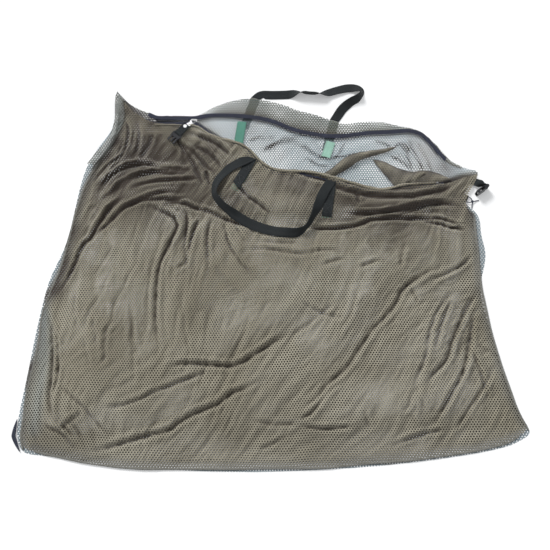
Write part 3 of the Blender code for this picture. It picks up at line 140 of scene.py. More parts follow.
def along(line: Array, shares: Array) -> Array:
    """Points of a line at shares of its length.

    Args:
        line: points in order, one a row.
        shares: from 0 at the start to 1 at the end.

    Returns:
        One point a row.
    """
    steps = np.linalg.norm(np.diff(line, axis=0), axis=1)
    run = np.concatenate([[0.0], np.cumsum(steps)])
    return np.column_stack([np.interp(shares * run[-1], run, line[:, k]) for k in range(line.shape[1])])


def smooth(points: Array, count: int) -> Array:
    """Evenly spread points along one smooth curve through the given ones.

    Args:
        points: the points that the curve passes, one a row.
        count: how many points to give back.

    Returns:
        The curve's points, one a row.
    """
    given = np.asarray(points, float)
    if len(given) < 3:
        return along(given, np.linspace(0, 1, count))
    ends = np.vstack([2 * given[0] - given[1], given, 2 * given[-1] - given[-2]])
    t = np.linspace(0, 1, 12, endpoint=False)[:, None]
    pieces = []
    for a, b, c, d in zip(ends, ends[1:], ends[2:], ends[3:]):
        square = (2 * a - 5 * b + 4 * c - d) * t**2
        pieces.append(0.5 * (2 * b + (c - a) * t + square + (3 * b - a - 3 * c + d) * t**3))
    return along(np.vstack([*pieces, given[-1:]]), np.linspace(0, 1, count))


def length_of(line: Array) -> float:
    """Length of a line of points."""
    return float(np.linalg.norm(np.diff(line, axis=0), axis=1).sum())


def marks_of(line: Array) -> Array:
    """The share of a line's length at each of its points."""
    steps = np.linalg.norm(np.diff(line, axis=0), axis=1)
    return np.concatenate([[0.0], np.cumsum(steps)]) / steps.sum()


def plan_axes(degrees: float) -> tuple[Vector, Vector]:
    """The level direction at an angle from +X, and the one to its left."""
    angle = math.radians(degrees)
    return Vector((math.cos(angle), math.sin(angle), 0)), Vector((-math.sin(angle), math.cos(angle), 0))


def ease(x: Array | float) -> Array | float:
    """A smooth step from 0 to 1."""
    x = np.clip(x, 0, 1)
    return x * x * (3 - 2 * x)


def unit(vectors: Array) -> Array:
    """The vectors, one a row, scaled to length 1."""
    return vectors / np.maximum(np.linalg.norm(vectors, axis=-1, keepdims=True), 1e-12)


def nearest_on(line: Array, points: Array) -> tuple[Array, Array, Array]:
    """Where plan points lie beside a plan line.

    Args:
        line: the line's plan points.
        points: the plan points to place.

    Returns:
        The distance of each point, positive on the line's left, the share of the line's length at
        its nearest place, and that nearest place.
    """
    best = np.full(len(points), np.inf)
    side = np.zeros(len(points))
    share = np.zeros(len(points))
    place = np.zeros((len(points), 2))
    run = marks_of(line)
    for k, (a, b) in enumerate(zip(line[:-1], line[1:])):
        way = b - a
        t = np.clip(((points - a) @ way) / max(float(way @ way), 1e-12), 0, 1)
        spot = a + t[:, None] * way
        away = np.linalg.norm(points - spot, axis=1)
        closer = away < best
        cross = way[0] * (points[:, 1] - a[1]) - way[1] * (points[:, 0] - a[0])
        best = np.where(closer, away, best)
        side = np.where(closer, np.sign(cross), side)
        share = np.where(closer, run[k] + t * (run[k + 1] - run[k]), share)
        place = np.where(closer[:, None], spot, place)
    return best * np.where(side == 0, 1, side), share, place


def smooth_table(rows: Rows, at: Array) -> Array:
    """Values of a table, eased from row to row.

    Args:
        rows: (place, value) pairs in order of place.
        at: the places to read.

    Returns:
        A value for each place.
    """
    places, values = (np.array(column) for column in zip(*rows))
    low = np.clip(np.searchsorted(places, at, side="right") - 1, 0, len(places) - 2)
    part = ease((at - places[low]) / (places[low + 1] - places[low]))
    return values[low] * (1 - part) + values[low + 1] * part


def ripple(points: Array, size: float, seed: float) -> Array:
    """Smooth noise over plan points.

    Args:
        points: plan points, one a row.
        size: distance between neighbouring bumps.
        seed: shifts the pattern.

    Returns:
        A value near -1 to 1 for each point.
    """
    spots = [Vector((x / size + seed, y / size - seed, seed * 3.1)) for x, y in points]
    return np.array([noise.noise(spot) for spot in spots]) * 1.6


# Finishes


class Graph:
    """The node tree of one material, with short calls that add nodes and join them."""

    def __init__(self, name: str) -> None:
        """Starts an empty material.

        Args:
            name: the material's name.
        """
        self.material = bpy.data.materials.new(name)
        self.material.use_nodes = True
        self.tree = self.material.node_tree
        self.tree.nodes.clear()

    def feed(self, socket: Socket, value: "Socket | float | tuple") -> None:
        """Joins a socket to another one, or sets its value.

        Args:
            socket: the input.
            value: an output socket, a number or a colour.
        """
        if isinstance(value, bpy.types.NodeSocket):
            self.tree.links.new(value, socket)
        elif isinstance(value, tuple) and len(value) == 3 and socket.type == "RGBA":
            socket.default_value = (*value, 1.0)
        else:
            socket.default_value = value

    def add(self, kind: str, inputs: dict | None = None, **settings: object) -> bpy.types.Node:
        """Adds a node.

        Args:
            kind: the node's type name without ShaderNode.
            inputs: sockets or values by input name or number.
            **settings: properties of the node.

        Returns:
            The node.
        """
        node = self.tree.nodes.new(f"ShaderNode{kind}")
        for key, value in settings.items():
            setattr(node, key, value)
        for key, value in (inputs or {}).items():
            self.feed(node.inputs[key], value)
        return node

    def calc(self, operation: str, *values: "Socket | float", clamp: bool = False) -> Socket:
        """The result of a Math node."""
        node = self.add("Math", dict(enumerate(values)), operation=operation, use_clamp=clamp)
        return node.outputs[0]

    def remap(self, value: Socket, low: float, high: float, to_low: float = 0.0,
              to_high: float = 1.0) -> Socket:
        """A value carried from one range to another, held within the second."""
        inputs = {0: value, 1: low, 2: high, 3: to_low, 4: to_high}
        return self.add("MapRange", inputs).outputs[0]

    def blend(self, share: "Socket | float", a: "Socket | tuple", b: "Socket | tuple") -> Socket:
        """A colour between two others.

        Args:
            share: 0 gives a, 1 gives b.
            a: the first colour.
            b: the second colour.

        Returns:
            The mixed colour's socket.
        """
        node = self.add("Mix", data_type="RGBA")
        for index, value in ((0, share), (6, a), (7, b)):
            self.feed(node.inputs[index], value)
        return node.outputs[2]

    def place(self, scale: Triple = (1, 1, 1), kind: str = "Object") -> Socket:
        """Coordinates of the surface, scaled.

        Args:
            scale: factors for the three axes.
            kind: Object or UV.

        Returns:
            The coordinates' socket.
        """
        source = self.add("TexCoord").outputs[kind]
        if scale == (1, 1, 1):
            return source
        return self.add("VectorMath", {0: source, 1: scale}, operation="MULTIPLY").outputs[0]

    def cloud(self, where: Socket, scale: float, detail: float = 2.0, rough: float = 0.5) -> Socket:
        """Noise from 0 to 1 at a place."""
        inputs = {"Vector": where, "Scale": scale, "Detail": detail, "Roughness": rough}
        return self.add("TexNoise", inputs).outputs[0]

    def bump(self, height: Socket, distance: float, strength: float = 1.0) -> Socket:
        """A normal that follows a height field."""
        inputs = {"Height": height, "Distance": distance, "Strength": strength}
        return self.add("Bump", inputs).outputs[0]

    def close(self, surface: Socket) -> Material:
        """Joins the surface to the output and gives the material back."""
        self.feed(self.add("OutputMaterial").inputs["Surface"], surface)
        return self.material


@dataclass(frozen=True)
class MeshFinish:
    """Knitted sack mesh: staggered oval holes between soft threads.

    Three values painted on the cloth steer it: one darkens it with painted shade in creases, hollows,
    gathered spots and under other cloth; pale takes it towards the single layer's grey; and close
    narrows the holes where layers or gathered cloth lie over each other.
    """

    name: str
    thread: Triple
    worn: Triple
    # Colour towards which the painted shade takes the cloth.
    fold: Triple
    pale: Triple
    hole: float
    pitch: Pair = (0.0068, 0.0106)
    roughness: float = 0.85
    hole_spread: Pair = (0.86, 1.12)
    knot_reach: Pair = (0.0006, 0.0029)
    knot_tone: Pair = (0.50, 1.25)
    yarn_tone: Pair = (0.82, 1.12)
    rim_width: float = 0.0008
    relief: float = 0.0005

    def holes(self, graph: Graph) -> tuple[Socket, Socket]:
        """The pattern of staggered holes, a little uneven in place and size.

        Args:
            graph: the node tree to build in.

        Returns:
            Distance from the rim of the nearest hole, positive on the thread, and how near a knot is.
        """
        where = graph.place()
        drift = graph.add("TexNoise", {"Vector": where, "Scale": 3.5, "Detail": 1.0}).outputs["Color"]
        shift = graph.add("VectorMath", {0: drift, 1: (0.03, 0.03, 0.0)}, operation="MULTIPLY").outputs[0]
        moved = graph.add("VectorMath", {0: where, 1: shift}, operation="ADD").outputs[0]
        axes = graph.add("SeparateXYZ", {0: moved})
        nearest = None
        for offset in (0.0, 0.5):
            squares = []
            for axis, pitch in zip((0, 1), self.pitch):
                cells = graph.calc("ADD", graph.calc("DIVIDE", axes.outputs[axis], pitch), offset)
                away = graph.calc("SUBTRACT", graph.calc("FRACT", cells), 0.5)
                squares.append(graph.calc("POWER", graph.calc("MULTIPLY", away, pitch), 2.0))
            reach = graph.calc("SQRT", graph.calc("ADD", *squares))
            nearest = reach if nearest is None else graph.calc("MINIMUM", nearest, reach)
        spread = [self.hole * share for share in self.hole_spread]
        size = graph.remap(graph.cloud(where, 6.0, 2.0), 0.35, 0.68, *spread)
        close = graph.add("Attribute", attribute_name="close").outputs["Fac"]
        kept = graph.calc("SUBTRACT", 1.0, close)
        rim = graph.calc("SUBTRACT", nearest, graph.calc("MULTIPLY", size, kept))
        return rim, graph.remap(nearest, *self.knot_reach)

    def make(self) -> Material:
        """Builds the material.

        Returns:
            The material.
        """
        graph = Graph(self.name)
        rim, knots = self.holes(graph)
        where = graph.place()
        patches = graph.remap(graph.cloud(where, 7.0, 4.0), 0.35, 0.68)
        yarn = graph.remap(graph.cloud(graph.place((1.0, 0.6, 1.0)), 700.0, 1.0), 0.3, 0.7, *self.yarn_tone)
        base = graph.blend(patches, self.thread, self.worn)
        margin = graph.add("Attribute", attribute_name="pale").outputs["Fac"]
        base = graph.blend(margin, base, self.pale)
        # Painted shade: the colour goes towards the shade colour as far as the sheets painted it.
        shade = graph.add("Attribute", attribute_name="fold").outputs["Fac"]
        toned = graph.blend(shade, base, self.fold)
        # Darker at hole centres, lighter at knots: where holes are closed, the dark centres are painted
        # shade for the shade seen through them.
        yarn = graph.calc("MULTIPLY", yarn, graph.remap(knots, 0.35, 1.0, *self.knot_tone))
        colour = graph.add("VectorMath", {0: toned}, operation="SCALE")
        graph.feed(colour.inputs["Scale"], yarn)
        rise = {0: rim, 1: 0.0, 2: self.rim_width}
        height = graph.add("MapRange", rise, interpolation_type="SMOOTHSTEP").outputs[0]
        knit = graph.calc("ADD", height, graph.calc("MULTIPLY", yarn, 0.4))
        inputs = {
            "Base Color": colour.outputs[0],
            "Roughness": self.roughness,
            "Sheen Weight": 0.15,
            "Sheen Roughness": 0.6,
            "Normal": graph.bump(knit, self.relief),
        }
        cloth = graph.add("BsdfPrincipled", inputs).outputs[0]
        clear = graph.add("BsdfTransparent").outputs[0]
        solid = graph.calc("GREATER_THAN", rim, 0.0)
        surface = graph.add("MixShader", {0: solid, 1: clear, 2: cloth}).outputs[0]
        return graph.close(surface)


@dataclass(frozen=True)
class WovenFinish:
    """Webbing or tape: diagonal ribs that run with its length, with a flatter selvedge."""

    name: str
    dark: Triple
    light: Triple
    width: float
    rib: float = 0.0016
    roughness: float = 0.6
    sheen: float = 0.3

    def make(self) -> Material:
        """Builds the material.

        Returns:
            The material.
        """
        graph = Graph(self.name)
        axes = graph.add("SeparateXYZ", {0: graph.place(kind="UV")})
        run, across = axes.outputs[0], axes.outputs[1]
        folded = graph.calc("PINGPONG", across, self.rib * 4)
        phase = graph.calc("DIVIDE", graph.calc("ADD", run, folded), self.rib)
        rib = graph.calc("PINGPONG", phase, 0.5)
        twill = graph.remap(rib, 0.05, 0.4)
        fibre = graph.cloud(graph.place((900.0, 260.0, 1.0), "UV"), 1.0, 2.0)
        edge = graph.remap(graph.calc("ABSOLUTE", across), self.width * 0.43, self.width * 0.47)
        worn = graph.remap(graph.cloud(graph.place(), 40.0, 3.0), 0.45, 0.75, 0.0, 0.5)
        tone = graph.calc("ADD", graph.calc("MULTIPLY", twill, 0.55), graph.calc("MULTIPLY", worn, 0.5))
        lightened = graph.calc("ADD", tone, graph.calc("MULTIPLY", edge, 0.2), clamp=True)
        colour = graph.blend(lightened, self.dark, self.light)
        relief = graph.calc("ADD", twill, graph.calc("MULTIPLY", fibre, 0.5))
        inputs = {
            "Base Color": colour,
            "Roughness": self.roughness,
            "Sheen Weight": self.sheen,
            "Sheen Roughness": 0.4,
            "Normal": graph.bump(relief, 0.0003),
        }
        return graph.close(graph.add("BsdfPrincipled", inputs).outputs[0])


@dataclass(frozen=True)
class MouldedFinish:
    """Moulded plastic: fine spark texture, slightly polished where hands rub it."""

    name: str
    colour: Triple
    rubbed: Triple
    roughness: Pair = (0.28, 0.45)

    def make(self) -> Material:
        """Builds the material.

        Returns:
            The material.
        """
        graph = Graph(self.name)
        where = graph.place()
        grain = graph.cloud(where, 2600.0, 2.0)
        wear = graph.remap(graph.cloud(where, 160.0, 3.0), 0.45, 0.7)
        inputs = {
            "Base Color": graph.blend(wear, self.colour, self.rubbed),
            "Roughness": graph.remap(grain, 0.3, 0.7, *self.roughness),
            "Normal": graph.bump(grain, 0.00008),
        }
        return graph.close(graph.add("BsdfPrincipled", inputs).outputs[0])


@dataclass(frozen=True)
class MetalFinish:
    """Cast or pressed metal: brushed lines, small pits and a duller film in places."""

    name: str
    colour: Triple
    dull: Triple
    roughness: float = 0.3

    def make(self) -> Material:
        """Builds the material.

        Returns:
            The material.
        """
        graph = Graph(self.name)
        lines = graph.cloud(graph.place((300.0, 4000.0, 300.0)), 1.0, 3.0)
        film = graph.remap(graph.cloud(graph.place(), 220.0, 4.0), 0.42, 0.72)
        rough = graph.calc("ADD", graph.remap(lines, 0.3, 0.7, 0.0, 0.12), self.roughness)
        inputs = {
            "Base Color": graph.blend(film, self.colour, self.dull),
            "Metallic": 1.0,
            "Roughness": rough,
            "Normal": graph.bump(lines, 0.00005),
        }
        return graph.close(graph.add("BsdfPrincipled", inputs).outputs[0])


@dataclass(frozen=True)
class ThreadFinish:
    """Sewing thread or thin cord: strands that wind round the length."""

    name: str
    dark: Triple
    light: Triple
    pitch: float = 0.0016

    def make(self) -> Material:
        """Builds the material.

        Returns:
            The material.
        """
        graph = Graph(self.name)
        axes = graph.add("SeparateXYZ", {0: graph.place()})
        lean = graph.calc("ADD", graph.calc("ADD", axes.outputs[0], axes.outputs[1]), axes.outputs[2])
        strand = graph.remap(graph.calc("PINGPONG", graph.calc("DIVIDE", lean, self.pitch), 0.5), 0.1, 0.4)
        fuzz = graph.cloud(graph.place(), 1500.0, 2.0)
        inputs = {
            "Base Color": graph.blend(strand, self.dark, self.light),
            "Roughness": 0.7,
            "Sheen Weight": 0.2,
            "Normal": graph.bump(graph.calc("ADD", strand, graph.calc("MULTIPLY", fuzz, 0.4)), 0.0003),
        }
        return graph.close(graph.add("BsdfPrincipled", inputs).outputs[0])


KHAKI = (0.244, 0.220, 0.160)
KHAKI_WORN = (0.345, 0.318, 0.245)
PALE_GREY = (0.225, 0.290, 0.320)
# The third colour of each mesh finish is the colour of its painted shade.
PAINTED_SHADE_BROWN = (0.046, 0.033, 0.023)
OUTSIDE_MESH = MeshFinish("khaki_mesh", KHAKI, KHAKI_WORN, PAINTED_SHADE_BROWN, PALE_GREY, 0.00188)
INSIDE_MESH = MeshFinish("pale_mesh", KHAKI, KHAKI_WORN, (0.050, 0.042, 0.038), PALE_GREY, 0.00250)
HEM_MESH = MeshFinish("hem_mesh", KHAKI, KHAKI_WORN, PAINTED_SHADE_BROWN, (0.12, 0.155, 0.150), 0.00235)
WEB_BLACK = (0.003, 0.005, 0.006)
WEB_WORN = (0.013, 0.020, 0.023)
TAPE_NAVY = (0.008, 0.010, 0.024)
TAPE_WORN = (0.040, 0.048, 0.105)
ZIP_WEAVE = WovenFinish("zip_tape_weave", TAPE_NAVY, TAPE_WORN, 0.012, 0.0009, 0.6, 0.25)
WEBBING = WovenFinish("handle_webbing", WEB_BLACK, WEB_WORN, 0.025, 0.0016, 0.75, 0.03)
HEM_WEBBING = WovenFinish("hem_webbing", (0.100, 0.110, 0.075), (0.190, 0.200, 0.145), 0.025)
CLIP_WEBBING = WovenFinish("clip_webbing", WEB_BLACK, WEB_WORN, 0.020, 0.0016, 0.75, 0.03)
GREEN = (0.070, 0.270, 0.195)
GREEN_WORN = (0.180, 0.430, 0.340)
MINT = (0.300, 0.560, 0.440)
MINT_WORN = (0.450, 0.700, 0.590)
LEFT_GREEN = WovenFinish("green_tape", GREEN, GREEN_WORN, 0.024, 0.0012, 0.65)
RIGHT_GREEN = WovenFinish("pale_green_tape", MINT, MINT_WORN, 0.024, 0.0012, 0.65)
BINDING = WovenFinish("seam_binding", (0.170, 0.165, 0.140), (0.330, 0.325, 0.300), 0.008, 0.0011, 0.8)
CORNER_WEAVE = WovenFinish("corner_weave", (0.010, 0.014, 0.030), (0.050, 0.060, 0.100), 0.010, 0.0011, 0.7)
MOULDED = MouldedFinish("moulded_black", (0.010, 0.011, 0.014), (0.030, 0.032, 0.038))
TOOTH_RESIN = MouldedFinish("tooth_resin", (0.012, 0.014, 0.020), (0.060, 0.070, 0.095), (0.2, 0.4))
SLIDER_METAL = MetalFinish("slider_metal", (0.66, 0.66, 0.66), (0.34, 0.34, 0.34))
BRIGHT_METAL = MetalFinish("bright_metal", (0.97, 0.97, 0.98), (0.84, 0.84, 0.85), 0.34)
BLACK_THREAD = ThreadFinish("black_thread", (0.010, 0.012, 0.014), (0.070, 0.080, 0.085))
SEAM_THREAD = ThreadFinish("seam_thread", (0.140, 0.135, 0.115), (0.280, 0.275, 0.250))
CORD_BRAID = ThreadFinish("cord_braid", (0.010, 0.014, 0.030), (0.055, 0.065, 0.100))


# Pieces


def add_piece(name: str, points: Array, faces: list, finish: Material, body: str,
              replaced: tuple[str, ...] = (), uv: Array | None = None) -> bpy.types.Object:
    """Makes one smooth shaded mesh piece and lets it ride.

    Args:
        name: the piece's name.
        points: vertices in the row frame, one a row.
        faces: tuples of vertex numbers.
        finish: the material.
        body: the body that carries the piece.
        replaced: the construction nodes that the piece stands for.
        uv: run and across in metres for each vertex.

    Returns:
        The new object.
    """
    mesh = bpy.data.meshes.new(name)
    mesh.from_pydata(np.asarray(points, float).tolist(), [], faces)
    mesh.materials.append(finish)
    mesh.shade_smooth()
    if uv is not None:
        layer = mesh.uv_layers.new(name="weave")
        corners = np.empty(len(mesh.loops), int)
        mesh.loops.foreach_get("vertex_index", corners)
        layer.data.foreach_set("uv", uv[corners].astype(np.float32).ravel())
    piece = bpy.data.objects.new(name, mesh)
    bpy.context.scene.collection.objects.link(piece)
    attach(piece, body)
    if replaced:
        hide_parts(*replaced)
    log.info("%s: %d vertices on %s", name, len(mesh.vertices), body)
    return piece


def paint(piece: bpy.types.Object, **values: Array) -> None:
    """Stores values between 0 and 1 at each vertex for the mesh finishes.

    Args:
        piece: the cloth.
        **values: one value a vertex, under the name that the finish reads.
    """
    for name, column in values.items():
        layer = piece.data.attributes.new(name, "FLOAT", "POINT")
        layer.data.foreach_set("value", np.clip(column, 0, 1).astype(np.float32))


class Bed:
    """Surfaces that other pieces lie on, read from above or along the camera's sight."""

    def __init__(self, points: Array, faces: list) -> None:
        """Keeps one surface, as vertices and faces."""
        self.tree = BVHTree.FromPolygons(np.asarray(points, float).tolist(), faces)

    def level(self, x: float, y: float, missing: float = 0.0) -> float:
        """Height of the surface at a plan point, or the missing value beside it."""
        hit = self.tree.ray_cast(Vector((x, y, 1.0)), Vector((0, 0, -1)))[0]
        return missing if hit is None else hit.z

    def seen(self, pixel: Pair, height: float) -> Vector:
        """The point of the surface at a pixel, or the point at a height where the pixel misses it."""
        hit = self.tree.ray_cast(VIEW.eye(), VIEW.sight(pixel))[0]
        return VIEW.ground(pixel, height) if hit is None else hit

    def trace(self, pixels: Pixels, height: float = 0.02) -> Array:
        """A line of pixels laid on the surface, as plan points."""
        return np.array([self.seen(p, height)[:2] for p in pixels])


def grid_faces(rows: int, columns: int, first: int = 0, closed: bool = False) -> list:
    """Faces of a grid of vertices.

    Args:
        rows: rows of vertices.
        columns: vertices in a row.
        first: number of the first vertex.
        closed: whether the last column joins the first.

    Returns:
        The faces, as tuples of vertex numbers.
    """
    faces = []
    for i in range(rows - 1):
        for j in range(columns if closed else columns - 1):
            a, b = first + i * columns + j, first + i * columns + (j + 1) % columns
            faces.append((a, b, b + columns, a + columns))
    return faces


def tube_faces(rings: int, sides: int) -> list:
    """Faces of a closed tube with a cap at each end.

    Args:
        rings: rings of vertices along the tube.
        sides: vertices in a ring.

    Returns:
        The faces, as tuples of vertex numbers.
    """
    last = (rings - 1) * sides
    caps = [tuple(range(sides)), tuple(range(last + sides - 1, last - 1, -1))]
    return grid_faces(rings, sides, closed=True) + caps


# Strips read from the construction


@dataclass
class Rails:
    """The two long edges of a strip at mid thickness, and the direction through its thickness."""

    left: Array
    right: Array
    up: Array

    @classmethod
    def of(cls, node: str) -> "Rails":
        """Reads a strip of the construction from its four sharp long edges.

        Args:
            node: name of a strip's node.

        Returns:
            The strip's rails, in the order in which the strip runs.
        """
        shape = bmesh.new()
        shape.from_mesh(frame["nodes"][node].data)
        bmesh.ops.remove_doubles(shape, verts=shape.verts, dist=1e-5)
        sharp = [e for e in shape.edges if len(e.link_faces) == 2 and e.calc_face_angle() > 0.8]
        joined: dict[int, int] = {}
        for edge in sharp:
            for vertex in edge.verts:
                joined[vertex.index] = joined.get(vertex.index, 0) + 1
        corners = {v for v, count in joined.items() if count > 2}
        following: dict[int, list[int]] = {}
        for edge in sharp:
            a, b = (v.index for v in edge.verts)
            if not {a, b} <= corners:
                following.setdefault(a, []).append(b)
                following.setdefault(b, []).append(a)
        places = {v.index: np.array(v.co) for v in shape.verts}
        shape.free()
        chains = []
        loose = [(v, way) for v in sorted(corners) for way in following.get(v, [])]
        while loose:
            before, here = loose.pop(0)
            chain = [before, here]
            while here not in corners and len(following[here]) == 2:
                before, here = here, next(v for v in following[here] if v != before)
                chain.append(here)
            if (here, before) in loose:
                loose.remove((here, before))
            chains.append(np.array([places[v] for v in chain]))
        chains = sorted(chains, key=length_of)[-4:]
        count = max(len(chain) for chain in chains)
        chains = [along(chain, np.linspace(0, 1, count)) for chain in chains]
        start = chains[0][0]
        chains = [min(c[::-1], c, key=lambda way: float(np.linalg.norm(way[0] - start))) for c in chains]
        mates = sorted(range(1, 4), key=lambda k: float(np.linalg.norm(chains[k][0][:2] - start[:2])))
        pairs = [(chains[0], chains[mates[0]]), (chains[mates[1]], chains[mates[2]])]
        pairs = [(a, b) if a[0][2] < b[0][2] else (b, a) for a, b in pairs]
        up = unit(sum(b - a for a, b in pairs))
        first, second = ((a + b) / 2 for a, b in pairs)
        heading = first[1] - first[0]
        across = second[0] - first[0]
        if np.cross(heading, across)[2] > 0:
            first, second = second, first
        if first[-1][0] < first[0][0]:
            first, second, up = second[::-1], first[::-1], up[::-1]
        return cls(first, second, up)

    def spread(self, pitch: float) -> tuple[Array, Array, Array]:
        """Evenly spread stations along the strip.

        Args:
            pitch: distance between stations.

        Returns:
            The middle points, the half width vectors to the right and the directions upwards.
        """
        middle = (self.left + self.right) / 2
        count = max(int(length_of(middle) / pitch) + 1, 4)
        both = smooth(np.hstack([middle, (self.right - self.left) / 2, self.up]), count)
        return both[:, :3], both[:, 3:6], unit(both[:, 6:])


@dataclass
class Ribbon:
    """Flat webbing or tape: middle points, half width vectors and upward directions, with a thickness."""

    middles: Array
    halves: Array
    ups: Array
    thickness: float

    @classmethod
    def on(cls, node: str, thickness: float, pitch: float = 0.0025) -> "Ribbon":
        """A ribbon that lies where a strip of the construction does."""
        return cls(*Rails.of(node).spread(pitch), thickness)

    def shares(self) -> Array:
        """The share of the ribbon's length at each station."""
        return marks_of(self.middles)

    def gaps(self, bed: Bed, side: float) -> Array:
        """How far each station must rise to touch a bed.

        Args:
            bed: the surface.
            side: 1 for the ribbon's lower face, -1 for its upper face.

        Returns:
            The rise of each station, 0 where the bed is missing.
        """
        found = []
        for middle, half, up in zip(self.middles, self.halves, self.ups):
            face = middle - up * side * self.thickness / 2
            gaps = [bed.level(*(face + half * t)[:2], missing=-1.0) - (face + half * t)[2]
                    for t in np.linspace(-1, 1, 7)]
            known = [gap for gap in gaps if gap > -0.5]
            found.append((max(known) if side > 0 else min(known)) if known else 0.0)
        return np.array(found)

    def settle(self, bed: Bed, clearance: float = 0.0003, reach: int = 4, below: bool = False,
               deepest: float = -0.02) -> "Ribbon":
        """Lays the ribbon on a bed, or hangs it just below one.

        Args:
            bed: the surface.
            clearance: the space left between them.
            reach: stations over which the webbing's stiffness evens the bed out.
            below: whether the ribbon hangs under the surface.
            deepest: how far a station may drop from where it was.

        Returns:
            The ribbon itself.
        """
        side = -1.0 if below else 1.0
        gaps = self.gaps(bed, side) * side
        count = len(gaps)
        widest = np.array([gaps[max(0, k - reach): k + reach + 1].max() for k in range(count)])
        even = np.array([widest[max(0, k - reach): k + reach + 1].mean() for k in range(count)])
        self.middles = self.middles.copy()
        self.middles[:, 2] += side * (np.maximum(even, deepest) + clearance)
        return self

    def rest(self, beds: list[Bed], clearance: float = 0.0004, reach: int = 5) -> "Ribbon":
        """Raises the ribbon, which lies at ground level, on several beds.

        Args:
            beds: the surfaces below it.
            clearance: the space left under it.
            reach: stations over which the webbing's stiffness evens the beds out.

        Returns:
            The ribbon itself.
        """
        lifts = np.maximum.reduce([np.zeros(len(self.middles)), *(self.gaps(bed, 1.0) for bed in beds)])
        count = len(lifts)
        widest = np.array([lifts[max(0, k - reach): k + reach + 1].max() for k in range(count)])
        widest = np.pad(widest, reach, mode="edge")
        even = np.convolve(widest, np.ones(2 * reach + 1) / (2 * reach + 1), mode="valid")
        self.middles = self.middles.copy()
        self.middles[:, 2] += even + clearance
        return self

    def spot(self, share: float, across: float, above: float = 0.0) -> Array:
        """A point of the ribbon.

        Args:
            share: share of the ribbon's length.
            across: from -1 at the left edge to 1 at the right one.
            above: height over the upper face.

        Returns:
            The point in the row frame.
        """
        marks = self.shares()
        row = np.hstack([self.middles, self.halves, self.ups])
        at = np.array([np.interp(share, marks, row[:, k]) for k in range(9)])
        return at[:3] + at[3:6] * across + at[6:] * (self.thickness / 2 + above)

    def mesh(self, steps: int = 9) -> tuple[Array, list, Array]:
        """The closed ribbon with rounded edges and ends.

        Args:
            steps: vertices across each face.

        Returns:
            Vertices, faces and weave coordinates.
        """
        edge = self.thickness / 2
        run = self.shares() * length_of(self.middles)
        points, weave = [], []
        stations = [(0, -edge * 0.6, 0.45), *((k, 0.0, 1.0) for k in range(len(run)))]
        stations.append((len(run) - 1, edge * 0.6, 0.45))
        for k, ahead, swell in stations:
            half = float(np.linalg.norm(self.halves[k]))
            aside = self.halves[k] / half
            forward = unit(self.middles[min(k + 1, len(run) - 1)] - self.middles[max(k - 1, 0)])
            flat = np.linspace(-(half - edge), half - edge, steps)
            turn = np.radians([45.0, 0.0, -45.0])
            ring = [(x, edge) for x in flat]
            ring += [(half - edge + edge * math.cos(a), edge * math.sin(a)) for a in turn]
            ring += [(x, -edge) for x in flat[::-1]]
            ring += [(-half + edge - edge * math.cos(a), -edge * math.sin(a)) for a in turn]
            for x, z in ring:
                points.append(self.middles[k] + forward * ahead + aside * x + self.ups[k] * z * swell)
                weave.append((run[k] + ahead, x))
        return np.array(points), tube_faces(len(stations), len(ring)), np.array(weave)

    def piece(self, name: str, finish: Material, body: str, slot: str,
              replaced: tuple[str, ...] = ()) -> bpy.types.Object:
        """Makes the ribbon a piece of its own."""
        points, faces, weave = self.mesh()
        return add_piece(name, points, faces, finish, body, replaced, weave)

    def bed(self) -> Bed:
        """The ribbon as something that others lie on."""
        points, faces, _ = self.mesh()
        return Bed(points, faces)


@dataclass(frozen=True)
class Stitching:
    """Rows of short sewn stitches that stand a little proud of what they hold."""

    pitch: float = 0.0032
    gap: float = 0.0008
    radius: float = 0.00035
    sides: int = 6

    def row(self, line: Array) -> tuple[list, list]:
        """Stitches along a line.

        Args:
            line: points on the surface.

        Returns:
            Vertices and faces.
        """
        count = max(int(length_of(line) / self.pitch), 1)
        points: list = []
        faces: list = []
        for k in range(count):
            half_gap = self.gap / self.pitch / 2
            ends = along(line, np.array([k + half_gap, k + 1 - half_gap]) / count)
            way = unit(ends[1] - ends[0])
            aside = unit(np.cross(way, (0.1, 0.2, 1.0)))
            over = np.cross(aside, way)
            first = len(points)
            points.append(ends[0])
            for share in (0.25, 0.75):
                middle = ends[0] + (ends[1] - ends[0]) * share
                for angle in np.linspace(0, 2 * math.pi, self.sides, endpoint=False):
                    points.append(middle + (aside * math.cos(angle) + over * math.sin(angle)) * self.radius)
            points.append(ends[1])
            n = self.sides
            for j in range(n):
                a, b = first + 1 + j, first + 1 + (j + 1) % n
                faces += [(first, b, a), (a, b, b + n, a + n), (a + n, b + n, first + 2 * n + 1)]
        return points, faces

    def piece(self, name: str, lines: list, finish: Material, body: str,
              slot: str) -> bpy.types.Object:
        """Joins rows along several lines into one piece.

        Args:
            name: the piece's name.
            lines: lines of points on the surface.
            finish: the thread's material.
            body: the body that carries the piece.
            slot: the record's material slot; not used.

        Returns:
            The new object.
        """
        points: list = []
        faces: list = []
        for line in lines:
            more, sides = self.row(np.asarray(line))
            faces += [tuple(v + len(points) for v in side) for side in sides]
            points += more
        return add_piece(name, np.array(points), faces, finish, body)

    def box(self, ribbon: Ribbon, low: float, high: float, across: float = 0.78) -> list:
        """The lines of a sewn box with a cross in it.

        Args:
            ribbon: what the box is sewn on.
            low: share of the ribbon's length where the box starts.
            high: share where it ends.
            across: half width of the box as a share of the ribbon's.

        Returns:
            The lines, as lists of points.
        """
        corners = [(low, -across), (high, -across), (high, across), (low, across)]
        runs = [(corners[k], corners[(k + 1) % 4]) for k in range(4)]
        runs += [(corners[0], corners[2]), (corners[1], corners[3])]
        lines = []
        for (s0, a0), (s1, a1) in runs:
            steps = np.linspace(0, 1, 12)
            lines.append([ribbon.spot(s0 + (s1 - s0) * t, a0 + (a1 - a0) * t, 0.0001) for t in steps])
        return lines


STITCHING = Stitching()


# Cloth


